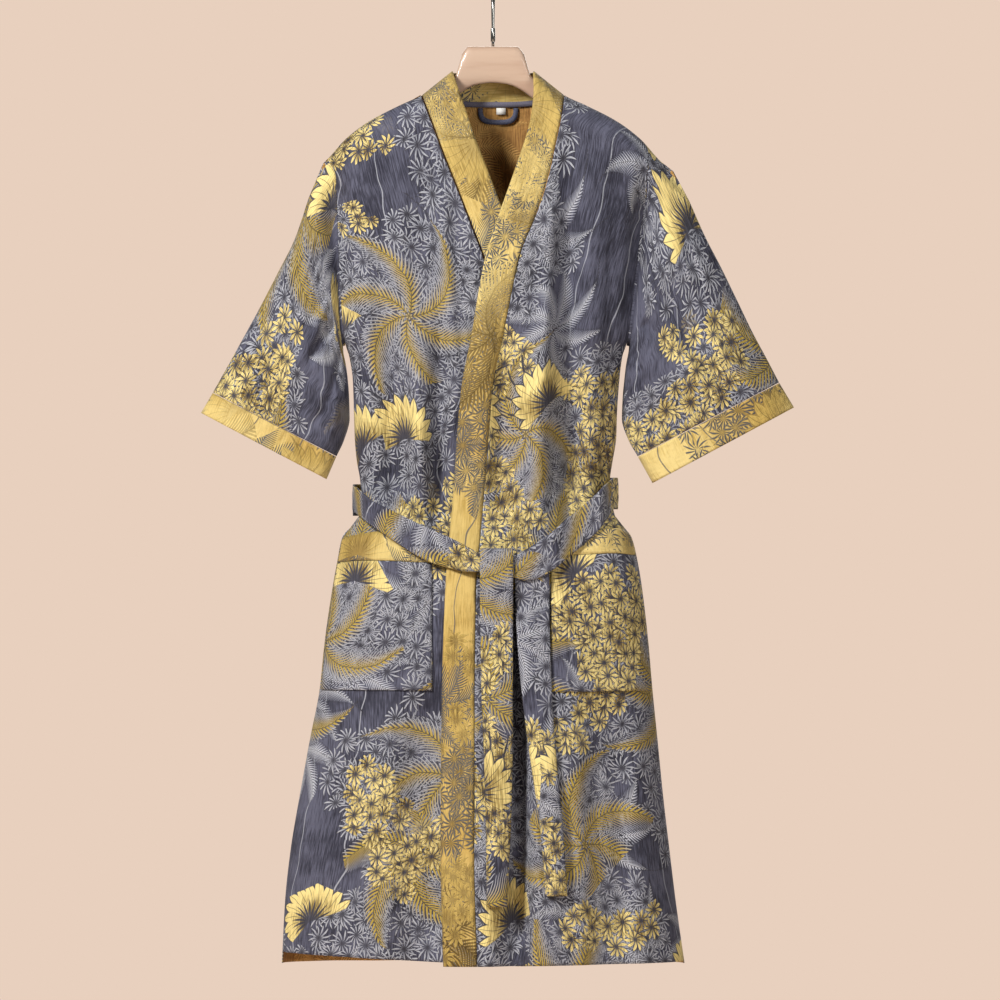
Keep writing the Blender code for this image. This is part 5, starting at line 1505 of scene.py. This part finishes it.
@dataclass(frozen=True)
class JacquardFinish:
    """Crinkled double-weave cotton with a woven leaf print.

    Attributes:
        name: Name of its material.
        weave: Which of the robe's two cloths it is.
        shift: Where the piece was cut from the cloth, in metres.
        reverse: True for the cloth's inner face.
        deepens: Height at which the gold ground turns deeper, or 0 where it doesn't.
    """

    name: str
    weave: Weave
    shift: tuple[float, float] = (0.0, 0.0)
    reverse: bool = False
    deepens: float = 0.0

    def material(self) -> bpy.types.Material:
        """Builds the material.

        Returns:
            The material.
        """
        made = bpy.data.materials.new(self.name)
        made.use_nodes = True
        make = NodeMaker(made.node_tree)
        uv = make.add("UVMap", uv_map="UVMap").outputs[0]
        place = make.vector("ADD", uv, (*self.shift, 0.0))
        leaf = make.add("Group", {"Place": place}, node_tree=leaf_print_group())
        masks = {name: leaf.outputs[name] for name in PRINT_MASKS}
        slub, puff, crimp = (
            make.noise(make.vector("MULTIPLY", uv, grain.stretch), grain.scale, grain.detail)
            for grain in (SLUB, PUFF, CRIMP)
        )
        patchy = make.noise(uv, PATCHY_SCALE, 3.0)
        tone = make.plus(make.times(slub, SLUB_SHARE), make.times(patchy, PATCHY_SHARE))
        if self.reverse:
            colour = self._inner_colour(make, masks, tone)
        else:
            colour = self._outer_colour(make, masks, tone, place)
        raised = make.most(masks["Gold"], masks["Pale"], masks["Olive"])
        threads = make.add("TexWave", {"Vector": uv, **THREAD_WAVES}, bands_direction="X")
        relief = 0.0
        for value, height in ((puff, PUFF.height), (raised, LEAF_HEIGHT), (crimp, CRIMP.height),
                              (threads.outputs["Fac"], THREAD_HEIGHT), (slub, SLUB.height)):
            relief = make.times_plus(value, height, relief)
        make.surface(colour, relief, COTTON_BUMP, COTTON)
        return made

    def _inner_colour(self, make: NodeMaker, masks: dict[str, Any], tone: Any) -> Socket:
        """Colour of the cloth's inner face, where the leaves only show through, kept darker than the gold as
        painted shade.

        Args:
            make: Adds the nodes.
            masks: Masks of the print.
            tone: Unevenness of the threads.

        Returns:
            The output socket.
        """
        # The inner ground is the reverse's own ochre, darkened with painted shade of the robe's inside
        dim = make.mix(make.ramp(*INNER_TONE, tone), *INNER_GROUND_AND_SHADE)
        drawn = make.most(masks["Gold"], masks["Olive"], masks["Pale"])
        return make.mix(make.times(drawn, INNER_COVER), dim, INNER_LEAF)

    def _outer_colour(self, make: NodeMaker, masks: dict[str, Any], tone: Any, place: Any) -> Socket:
        """Colour of the cloth's outer face: its ground with the leaves painted over it.

        Args:
            make: Adds the nodes.
            masks: Masks of the print, of which the gold cloth's are made fainter.
            tone: Unevenness of the threads.
            place: Place on the cloth, in metres.

        Returns:
            The output socket.
        """
        if self.weave is Weave.GOLD:
            aged = make.ramp(*AGED_RAMP, make.noise(make.vector("ADD", place, AGED_PLACE), AGED_SCALE))
            if self.deepens:
                height = make.add("SeparateXYZ", {0: make.add("TexCoord").outputs["Object"]}).outputs["Z"]
                low = make.ramp(self.deepens + DEEPENS_HALF, self.deepens - DEEPENS_HALF, height)
                aged = make.times_plus(aged, DEEP_KEEPS, make.times(low, DEEP_ADDS))
            dark, light = make.mix(aged, *GOLD_DARK_THREADS), make.mix(aged, *GOLD_LIGHT_THREADS)
            colour = make.mix(make.ramp(*GOLD_TONE, tone), dark, light)
            share = make.math("MULTIPLY_ADD", aged, *AGED_LEAVES, clamp=True)
            masks.update({name: make.times(masks[name], share) for name in ("Olive", "Gold", "Line")})
        else:
            colour = make.mix(make.ramp(*SLATE_TONE, tone), *SLATE_GROUND)
        lit = make.times(masks["Shade"], LIT_BY_SHADE)
        lit = make.times_plus(make.ramp(*LEAF_TONE, tone), LIT_BY_TONE, lit)
        for paint in PAINTS[self.weave]:
            value = lit if paint.mask == "Gold" else masks["Shade"]
            if paint.end:
                value = make.ramp(paint.start, paint.end, value)
            top = make.mix(value, paint.low, paint.high)
            colour = make.mix(make.times(masks[paint.mask], paint.cover), colour, top)
        return colour


@dataclass(frozen=True)
class PlainFinish:
    """A plain material with a faint mottle and relief.

    Attributes:
        name: Name of its material.
        light: Its lighter colour.
        dark: Its darker colour.
        roughness: Roughness.
        metallic: Metallic value.
        scale: Size of its grain, in waves in a metre.
        stretch: How the grain is drawn out along each axis.
        relief: Height of its grain, in metres.
        coat: Weight of a clear coat.
    """

    name: str
    light: Colour
    dark: Colour
    roughness: float
    metallic: float = 0.0
    scale: float = 400.0
    stretch: tuple[float, float, float] = (1.0, 1.0, 1.0)
    relief: float = 0.0001
    coat: float = 0.0

    def material(self) -> bpy.types.Material:
        """Builds the material.

        Returns:
            The material.
        """
        made = bpy.data.materials.new(self.name)
        made.use_nodes = True
        make = NodeMaker(made.node_tree)
        place = make.vector("MULTIPLY", make.add("TexCoord").outputs["Object"], self.stretch)
        grain = make.noise(place, self.scale, 4.0)
        colour = make.mix(make.ramp(0.35, 0.65, grain), self.dark, self.light)
        values = {"Roughness": self.roughness, "Metallic": self.metallic, "Coat Weight": self.coat}
        make.surface(colour, make.times(grain, self.relief), 1.0, values)
        return made


THREAD = PlainFinish("thread", rgb(200, 176, 92), rgb(170, 146, 70), 0.7, scale=2500.0)
SLATE_THREAD = PlainFinish("slate_thread", rgb(112, 116, 140), rgb(84, 88, 112), 0.7, scale=2500.0)
TAPE = PlainFinish("tape", rgb(122, 120, 136), rgb(92, 90, 108), 0.85, scale=1800.0)
LOOP = PlainFinish("loop", rgb(92, 96, 118), rgb(66, 70, 92), 0.85, scale=900.0)
LABEL = PlainFinish("label", rgb(238, 237, 233), rgb(226, 225, 220), 0.75, scale=1500.0)
WOOD = PlainFinish("hanger_wood", rgb(206, 178, 156), rgb(192, 160, 138), 0.38, scale=60.0,
                   stretch=(0.12, 1.0, 1.0), relief=0.00004, coat=0.45)
STEEL = PlainFinish("hook_steel", rgb(176, 176, 172), rgb(150, 150, 146), 0.22, metallic=1.0, scale=900.0)


def cumulated(grid: Array, axis: int, anchor: int) -> Array:
    """Lengths along a grid's lines, from one of its rows or columns.

    Args:
        grid: Grid of points.
        axis: Axis along which lengths are added up.
        anchor: Index that gets length 0.

    Returns:
        Lengths for each point, in metres.
    """
    steps = np.linalg.norm(np.diff(grid, axis=axis), axis=-1)
    zero = np.zeros_like(np.take(steps, [0], axis=axis))
    total = np.concatenate([zero, steps.cumsum(axis=axis)], axis=axis)
    return total - np.take(total, [anchor], axis=axis)


def sheet_mesh(name: str, grid: Array, closed: bool = False, anchor: int = 0) -> bpy.types.Mesh:
    """A smooth mesh through a grid's points, with its lengths in metres as UV map.

    Args:
        name: Name of the mesh.
        grid: Grid of rows of points.
        closed: Whether each row is a ring.
        anchor: Column from which widths are counted.

    Returns:
        The mesh.
    """
    if closed:
        grid = np.concatenate([grid, grid[:, :1]], axis=1)
    across = cumulated(grid, 1, anchor)
    down = cumulated(grid, 0, 0).mean(axis=1, keepdims=True) * np.ones(grid.shape[1])
    rows, columns = grid.shape[:2]
    wrap = columns - 1 if closed else columns
    i, j = np.meshgrid(np.arange(rows - 1), np.arange(columns - 1), indexing="ij")
    corners = [(i, j), (i + 1, j), (i + 1, j + 1), (i, j + 1)]
    faces = np.stack([a * wrap + b % wrap for a, b in corners], -1).reshape(-1, 4)
    mesh = bpy.data.meshes.new(name)
    mesh.from_pydata(grid[:, :wrap].reshape(-1, 3).tolist(), [], faces.tolist())
    uv = np.stack([np.stack([across[a, b], -down[a, b]], -1) for a, b in corners], 2)
    mesh.uv_layers.new(name="UVMap").data.foreach_set("uv", uv.reshape(-1))
    mesh.shade_smooth()
    mesh.update()
    return mesh


class Piece:
    """A mesh object that is put into the scene, dressed and made to ride on the part."""

    def __init__(self, name: str, mesh: bpy.types.Mesh, finish: Any) -> None:
        """Makes the object.

        Args:
            name: Name of the object.
            mesh: Its mesh.
            finish: Finish of its outer face.
        """
        self.made = bpy.data.objects.new(name, mesh)
        mesh.materials.append(finish.material())
        bpy.context.scene.collection.objects.link(self.made)
        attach(self.made, "root")
        LOG.info("made %s", name)

    def wall(self, thickness: float, inside: Any | None = None) -> "Piece":
        """Turns a sheet's faces outwards and gives it its thickness behind them.

        Args:
            thickness: Thickness, in metres.
            inside: Finish of the inner face, or the outer one's.

        Returns:
            The piece itself.
        """
        faces = self.made.data.polygons
        centres = np.array([face.center for face in faces])
        normals = np.array([face.normal for face in faces])
        core = centres.mean(0) * (1, 0, 1)
        if ((centres - core) * normals).sum() < 0:
            self.made.data.flip_normals()
        solid = self.made.modifiers.new("Wall", "SOLIDIFY")
        solid.thickness = thickness
        solid.offset = -1
        solid.use_rim = True
        if inside is not None:
            self.made.data.materials.append(inside.material())
            solid.material_offset = 1
            solid.material_offset_rim = 0
        return self

    def stands_for(self, *nodes: str) -> "Piece":
        """Shows the piece in place of the part's own nodes."""
        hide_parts(*nodes)
        return self

    def cut(self, width: float, length: float, area: float | None = None) -> "Piece":
        """Takes the size to which the cloth was cut and does nothing with it."""
        return self


def flat_size(grid: Array, closed: bool = False) -> tuple[float, float, float]:
    """Width, length and area of a cloth piece laid flat, read from its grid.

    Args:
        grid: Grid of rows of points.
        closed: Whether each row is a ring.

    Returns:
        Width and length in metres, and area in square metres.
    """
    if closed:
        grid = np.concatenate([grid, grid[:, :1]], axis=1)
    width = float(cumulated(grid, 1, 0)[:, -1].max())
    length = float(cumulated(grid, 0, 0)[-1].max())
    first = np.cross(grid[1:, :-1] - grid[:-1, :-1], grid[:-1, 1:] - grid[:-1, :-1])
    second = np.cross(grid[1:, 1:] - grid[1:, :-1], grid[1:, 1:] - grid[:-1, 1:])
    area = float((np.linalg.norm(first, axis=-1) + np.linalg.norm(second, axis=-1)).sum() / 2)
    return width, length, min(area, width * length)


def cloth_piece(name: str, node: str, grid: Array, finish: JacquardFinish, wall: float,
                inside: JacquardFinish | None = None, closed: bool = False, anchor: int = 0) -> None:
    """Makes one sheet of cloth in place of a node of the part, and works out its flat size."""
    piece = Piece(name, sheet_mesh(name, grid, closed, anchor), finish).wall(wall, inside)
    piece.stands_for(node).cut(*flat_size(grid, closed))


@dataclass
class Panels:
    """The robe's back and its two fronts, one lapping over the other."""

    wall: float = 0.0013
    under: Array = field(init=False)
    over: Array = field(init=False)
    back: Array = field(init=False)

    def __post_init__(self) -> None:
        """Works out the outer faces."""
        self.under = front_grid(lapping=False)
        self.over = front_grid(lapping=True)
        self.back = back_grid()

    def build(self) -> None:
        """Makes the three panels."""
        inside = JacquardFinish("slate_inside", Weave.SLATE, (0.31, 0.77), reverse=True)
        for name, node, grid, shift in (
            ("under_panel", "front_under", self.under, (1.95, 1.98)),
            ("lapping_panel", "front_lapping", self.over, (2.14, 1.76)),
            ("back_panel", "back", self.back, (2.70, 0.85)),
        ):
            finish = JacquardFinish(f"slate_{node}", Weave.SLATE, shift)
            cloth_piece(name, node, grid, finish, self.wall, inside, anchor=grid.shape[1] // 2)


@dataclass
class Neckband:
    """The gold band from hem to hem round the neck."""

    panels: Panels
    wall: float = 0.0022
    columns: int = 13
    roll: float = 0.12
    edge: float = 0.0010
    lift: float = 0.0006
    back_drop: float = 0.0013
    pucker: float = 0.00022
    pucker_pitch: float = 0.0125
    pucker_slant: float = 0.4
    pucker_reach: float = 0.25
    pucker_place: tuple[float, float] = (0.7, 0.6)
    grid: Array = field(init=False)

    def __post_init__(self) -> None:
        """Works out the band's outer face."""
        up = self._side(UNDER_BAND, False, self.panels.under)
        down = self._side(LAPPING_BAND, True, self.panels.over)[::-1]
        self.grid = np.concatenate([up, self._back(), down], 0)

    def _strip(self, seam: tuple[Array, Array], free: tuple[Array, Array],
               place: Callable[[Array, Array, Array], Array]) -> Array:
        """Points across the band, a little rounded at its edges.

        Args:
            seam: x and z of its sewn edge.
            free: x and z of its free edge.
            place: Function that puts x, z and the height above the panel's face into space.

        Returns:
            Grid of points.
        """
        share = np.linspace(0, 1, self.columns)[None, :]
        x = seam[0][:, None] * (1 - share) + free[0][:, None] * share
        z = seam[1][:, None] * (1 - share) + free[1][:, None] * share
        inside = np.clip(np.minimum(share, 1 - share) / self.roll, 0, 1)
        drawn = self.pucker * np.sin(2 * math.pi * (z + self.pucker_slant * x) / self.pucker_pitch)
        middle, reach = self.pucker_place
        drawn = drawn * np.exp(-((share / self.pucker_reach) ** 2) - ((inside - middle) / reach) ** 2)
        proud = BAND_PROUD + self.lift - self.edge * (1 - np.sqrt(1 - (1 - inside) ** 2)) + drawn
        return place(x, z, proud)

    def _side(self, table: Sequence[BandRow], lapping: bool, panel: Array) -> Array:
        """One side of the band up from its hem to the shoulder.

        Args:
            table: The band's rows.
            lapping: Whether it is on the lapping front.
            panel: Grid of the panel that it is sewn to.

        Returns:
            Grid of points.
        """
        seam_z = np.delete(panel[::-1, -1, 2], -2)
        seam_x, free_x, free_z = (
            column(table, "seam_z", name, seam_z) for name in ("seam_x", "free_x", "free_z")
        )
        strip = self._strip((seam_x, seam_z), (free_x, free_z),
                            lambda x, z, proud: front_point(x, z, lapping, proud))
        strip[-1, :, 1] = 0
        strip[-1, :, 2] += BAND_PROUD
        return strip

    def _back(self) -> Array:
        """The band round the back neck, from the left shoulder to the right one.

        Returns:
            Grid of points.
        """
        top = self.panels.back[0]
        seam_x = top[np.abs(top[:, 0]) < NECK_POINT[0] - 1e-4, 0]
        free_x = seam_x / NECK_POINT[0] * LAPPING_BAND[0].free_x
        seam_z = neck_height(seam_x) + TOUCH_GAP * 2
        free_z = np.full(len(seam_x), LAPPING_BAND[0].free_z - self.back_drop)
        return self._strip((seam_x, seam_z), (free_x, free_z), back_point)

    def build(self) -> None:
        """Makes the band."""
        finish = JacquardFinish("gold_neckband", Weave.GOLD, (0.62, 0.33), deepens=-0.62)
        cloth_piece("neckband_strip", "neckband", self.grid, finish, self.wall)


@dataclass
class Sleeve:
    """A sleeve with the cuff sewn to its end."""

    side: Side
    table: Sequence[SleeveRow]
    front: Array
    back: Array
    shift: tuple[float, float]
    wall: float = 0.0013
    cuff_wall: float = 0.0019
    rings: list[Array] = field(init=False)
    cuff: list[Array] = field(init=False)

    def __post_init__(self) -> None:
        """Works out the rings."""
        self.rings, self.cuff = sleeve_rings(self.table, self.front, self.back)

    def build(self) -> None:
        """Makes the sleeve and its cuff."""
        name = self.side.value
        inside = JacquardFinish(f"inside_sleeve_{name}", Weave.SLATE, (0.9, 0.2), reverse=True)
        for part, rings, weave, wall in (("sleeve", self.rings, Weave.SLATE, self.wall),
                                         ("cuff", self.cuff, Weave.GOLD, self.cuff_wall)):
            node = f"{part}_{name}"
            finish = JacquardFinish(f"{weave.value}_{node}", weave, self.shift)
            cloth_piece(f"{name}_{part}", node, np.array(rings), finish, wall, inside, closed=True)


@dataclass
class PatchPocket:
    """A patch pocket with a gold band along its mouth."""

    side: Side
    pocket: Pocket
    panel: Array
    shift: tuple[float, float]
    wall: float = 0.0013
    band_wall: float = 0.0019
    band: Array = field(init=False)
    bag: Array = field(init=False)

    def __post_init__(self) -> None:
        """Works out the outer faces."""
        self.band, self.bag = pocket_grids(self.pocket, self.panel)

    def build(self) -> None:
        """Makes the bag and the band."""
        name = self.side.value
        for part, grid, weave, wall in (("pocket", self.bag, Weave.SLATE, self.wall),
                                        ("pocket_band", self.band, Weave.GOLD, self.band_wall)):
            node = f"{part}_{name}"
            finish = JacquardFinish(f"{weave.value}_{node}", weave, self.shift)
            cloth_piece(f"{name}_{part}", node, grid, finish, wall)


@dataclass
class Belt:
    """The robe's own belt: its loop round the waist and its two hanging ends."""

    layers: Sequence[Array]
    wall: float = 0.0022
    loop: Array = field(init=False)
    ends: tuple[Array, Array] = field(init=False)

    def __post_init__(self) -> None:
        """Works out the outer faces."""
        self.loop = belt_grid(self.layers)
        held = self.loop[:, [0, BELT_ACROSS // 2, BELT_ACROSS - 1]]
        self.ends = (front_end_grid(self.layers, held), back_end_grid(self.layers, held))

    def build(self) -> None:
        """Makes the three stretches of the belt."""
        for name, node, grid, shift, closed in (
            ("belt_loop", "belt_loop_round_waist", self.loop.transpose(1, 0, 2), (0.62, 1.31), True),
            ("belt_front_end", "belt_end_front", self.ends[0], (0.84, 0.84), False),
            ("belt_back_end", "belt_end_back", self.ends[1], (1.9, 0.9), False),
        ):
            finish = JacquardFinish(f"slate_{name}", Weave.SLATE, shift)
            cloth_piece(name, node, grid, finish, self.wall, closed=closed)


@dataclass
class NeckTrim:
    """Tape, hanging loop and blank size label inside the back neck."""

    wall: float = 0.0008

    def build(self) -> None:
        """Makes the three pieces."""
        for name, node, grid, finish in (("back_neck_tape", "neck_tape", tape_grid(), TAPE),
                                         ("slate_loop", "hanging_loop", loop_grid(), LOOP),
                                         ("blank_label", "size_label", label_grid(), LABEL)):
            piece = Piece(name, sheet_mesh(name, grid), finish).wall(self.wall)
            piece.stands_for(node)


@dataclass
class Hanger:
    """The wooden hanger that carries the robe, with its steel hook and ferrule."""

    points: int = 40
    stations: int = 90
    hook_sides: int = 20
    roundness: float = 0.7

    def build(self) -> None:
        """Makes the hanger, the hook and the ferrule."""
        Piece("wooden_hanger", self._capped("wooden_hanger", self._rings()), WOOD).stands_for("hanger")
        path = hook_path()
        centre = np.array([(0.0, y, z) for y, z, _ in path])
        wire = np.array([w for _, _, w in path])
        Piece("steel_hook", self._capped("steel_hook", self._tube(centre, wire)), STEEL).stands_for("hook")
        upper = [FERRULE_TOP - edge for edge in FERRULE_TOP_EDGES]
        heights = (FERRULE_FOOT, FERRULE_FOOT + FERRULE_EDGE, *upper)
        narrow = FERRULE_RADIUS - FERRULE_EDGE
        radii = (narrow, FERRULE_RADIUS, FERRULE_RADIUS, narrow)
        axis = np.array([(0.0, 0.0, z) for z in heights])
        rings = self._tube(axis, np.array(radii))
        Piece("steel_ferrule", self._capped("steel_ferrule", rings), STEEL).stands_for("hook_ferrule")

    def _rings(self) -> list[Array]:
        """Rounded sections of the wood from its left tip to its right one.

        Returns:
            Rings of points.
        """
        angle = np.linspace(0, 2 * math.pi, self.points, endpoint=False)
        up = signed_power(np.sin(angle), self.roundness)
        out = signed_power(np.cos(angle), self.roundness)
        reach = HANGER[-1].x
        rings = []
        for share in np.sin(np.linspace(-math.pi / 2, math.pi / 2, self.stations)):
            x = reach * share
            top, foot, thick = (float(column(HANGER, "x", n, abs(x))) for n in ("top", "foot", "thickness"))
            middle, half = (top + foot) / 2, (top - foot) / 2
            rings.append(np.stack([np.full(self.points, x), thick / 2 * out, middle + half * up], 1))
        return rings

    def _tube(self, centre: Array, wire: Array) -> list[Array]:
        """Rings round a line that lies in the plane x = 0.

        Args:
            centre: Points of the line.
            wire: Radius at each point.

        Returns:
            Rings of points.
        """
        way = unit(np.gradient(centre, axis=0))
        side = np.cross(way, (1.0, 0.0, 0.0))
        angle = np.linspace(0, 2 * math.pi, self.hook_sides, endpoint=False)
        return [c + r * (np.cos(angle)[:, None] * np.array([1.0, 0, 0]) + np.sin(angle)[:, None] * s)
                for c, r, s in zip(centre, wire, side)]

    @staticmethod
    def _capped(name: str, rings: list[Array]) -> bpy.types.Mesh:
        """A closed mesh through rings.

        Args:
            name: Name of the mesh.
            rings: Rings of points.

        Returns:
            The mesh.
        """
        mesh = sheet_mesh(name, np.array(rings), closed=True)
        shape = bmesh.new()
        shape.from_mesh(mesh)
        bmesh.ops.holes_fill(shape, edges=[e for e in shape.edges if e.is_boundary])
        bmesh.ops.recalc_face_normals(shape, faces=shape.faces)
        shape.to_mesh(mesh)
        shape.free()
        return mesh


@dataclass
class Stitching:
    """Rows of small stitches along seams and hems."""

    length: float = 0.0026
    pitch: float = 0.0042
    radius: float = 0.00030
    sunk: float = 0.4
    hem_row: int = -6
    first_rows: tuple[int, int] = (16, 4)

    def row(self, name: str, line: Array, out: Array, finish: PlainFinish) -> None:
        """Makes one row of stitches.

        Args:
            name: Name of the piece.
            line: Points that the row follows.
            out: Direction out of the cloth at each point.
            finish: The thread.
        """
        run = run_along(line)
        middle = np.arange(self.pitch, run[-1] - self.pitch, self.pitch)

        def at(values: Array, place: Array) -> Array:
            """Values read along the line, as rows."""
            return np.stack([np.interp(place, run, v) for v in values.T], 1)

        start, end = at(line, middle - self.length / 2), at(line, middle + self.length / 2)
        normal = unit(at(out, middle))
        side = self.radius * unit(np.cross(end - start, normal))
        centre = (start + end) / 2
        low, high = centre - normal * self.radius * self.sunk, centre + normal * self.radius
        corners = np.stack([start, low - side, end, low + side, high], 1)
        count = len(middle)
        faces = np.array([(0, 1, 4), (1, 2, 4), (2, 3, 4), (3, 0, 4), (0, 3, 2), (0, 2, 1)])
        mesh = bpy.data.meshes.new(name)
        every = (faces[None] + corners.shape[1] * np.arange(count)[:, None, None]).reshape(-1, 3)
        mesh.from_pydata(corners.reshape(-1, 3).tolist(), [], every.tolist())
        mesh.shade_smooth()
        Piece(name, mesh, finish)

    def along(self, name: str, grid: Array, column_index: int, finish: PlainFinish,
              rows: slice = slice(None)) -> None:
        """Makes a row of stitches down a column of a front piece's grid."""
        normal = outward_normals(grid)
        self.row(name, grid[rows, column_index], normal[rows, column_index], finish)


Lamp = namedtuple("Lamp", "name place size power")
LAMPS = (
    Lamp("Key", (-2.7, -3.4, 1.8), 1.0, 256.0),
    Lamp("Fill", (2.3, -3.7, 0.3), 1.8, 50.0),
    Lamp("Behind", (0.6, 3.2, 0.6), 2.4, 60.0),
)


@dataclass
class Studio:
    """Camera, soft lights, plain surroundings and a pale floor."""

    aim: tuple[float, float, float] = (0.009, -0.05, -0.6914)
    lens: float = 400.0
    sensor: float = 36.0
    frame_width: float = 1.29
    surroundings: Colour = rgb(232, 208, 190)
    even_light: float = 0.11
    lamp_colour: Colour = (1.0, 0.975, 0.94)
    floor_half: float = 2.6
    floor_height: float = -2.0

    def build(self) -> None:
        """Makes the camera, lights and floor."""
        scene = bpy.context.scene
        scene.view_settings.view_transform = "Standard"
        data = bpy.data.cameras.new("Camera")
        data.lens = self.lens
        data.sensor_width = self.sensor
        camera = bpy.data.objects.new("Camera", data)
        distance = self.frame_width * self.lens / self.sensor
        camera.location = (self.aim[0], self.aim[1] - distance, self.aim[2])
        camera.rotation_euler = (math.pi / 2, 0, 0)
        scene.collection.objects.link(camera)
        scene.camera = camera
        for lamp in LAMPS:
            self._light(*lamp)
        self._floor()
        self._world(scene)

    def _light(self, name: str, place: tuple[float, float, float], size: float, power: float) -> None:
        """Adds one soft light that looks at the robe.

        Args:
            name: Name of the light.
            place: Where it stands.
            size: Side of its square, in metres.
            power: Power, in watts.
        """
        data = bpy.data.lights.new(name, "AREA")
        data.size = size
        data.energy = power
        data.color = self.lamp_colour
        lamp = bpy.data.objects.new(name, data)
        lamp.location = place
        way = Vector(self.aim) - Vector(place)
        lamp.rotation_euler = way.to_track_quat("-Z", "Y").to_euler()
        bpy.context.scene.collection.objects.link(lamp)

    def _floor(self) -> None:
        """Adds the pale floor, below the picture."""
        half, height = self.floor_half, self.floor_height
        mesh = bpy.data.meshes.new("Floor")
        corners = [(-half, -half, height), (half, -half, height), (half, half, height), (-half, half, height)]
        mesh.from_pydata(corners, [], [(0, 1, 2, 3)])
        floor = bpy.data.objects.new("Floor", mesh)
        finish = PlainFinish("floor", self.surroundings, self.surroundings, 0.9, scale=3.0)
        mesh.materials.append(finish.material())
        bpy.context.scene.collection.objects.link(floor)

    def _world(self, scene: bpy.types.Scene) -> None:
        """Sets the even surroundings, dimmer as a light than as a backdrop.

        Args:
            scene: Scene that gets them.
        """
        world = bpy.data.worlds.new("Surroundings")
        world.use_nodes = True
        scene.world = world
        make = NodeMaker(world.node_tree)
        ray = make.add("LightPath").outputs["Is Camera Ray"]
        colour = make.mix(ray, (self.even_light,) * 3, self.surroundings)
        background = world.node_tree.nodes["Background"]
        world.node_tree.links.new(colour, background.inputs["Color"])


def save_sizes() -> None:
    def plain(box: Any) -> Any:
        """A box as nested lists of numbers."""
        return [[round(float(v), 5) for v in corner] for corner in box]


def main() -> None:
    """Builds every piece of the robe, its hanger and the studio."""
    logging.basicConfig(level=logging.INFO, format="%(name)s: %(message)s")
    panels = Panels()
    neckband = Neckband(panels)
    pockets = [PatchPocket(Side.LEFT, LEFT_POCKET, panels.under, (2.13, 0.42)),
               PatchPocket(Side.RIGHT, RIGHT_POCKET, panels.over, (3.37, 0.18))]
    layers = [panels.under, panels.over, panels.back, neckband.grid]
    for pocket in pockets:
        layers += [pocket.band, pocket.bag]
    belt = Belt(layers)
    sleeves = [Sleeve(Side.LEFT, LEFT_SLEEVE, panels.under, panels.back, (1.30, 1.30)),
               Sleeve(Side.RIGHT, RIGHT_SLEEVE, panels.over, panels.back[:, ::-1], (1.87, 1.6))]
    for maker in (panels, neckband, *sleeves, *pockets, belt, NeckTrim(), Hanger()):
        maker.build()
    stitching = Stitching()
    stitching.along("neckband_seam_stitches", neckband.grid, 1, THREAD)
    for pocket in pockets:
        stitching.along(f"{pocket.side.value}_pocket_side_stitches", pocket.bag, -2, SLATE_THREAD)
        foot = pocket.bag[-2, 1:-1]
        normal = outward_normals(pocket.bag)[-2, 1:-1]
        stitching.row(f"{pocket.side.value}_pocket_foot_stitches", foot, normal, SLATE_THREAD)
    for name, strip, first in zip(("front", "back"), belt.ends, stitching.first_rows):
        for side, index in (("left", 1), ("right", -2)):
            stitching.along(f"belt_{name}_end_{side}_stitches", strip[first:], index, SLATE_THREAD)
    for name, panel in (("under", panels.under), ("lapping", panels.over)):
        normal = outward_normals(panel)[stitching.hem_row, 3:-1]
        stitching.row(f"{name}_hem_stitches", panel[stitching.hem_row, 3:-1], normal, SLATE_THREAD)
    Studio().build()
    save_sizes()


if __name__ == "__main__":
    main()
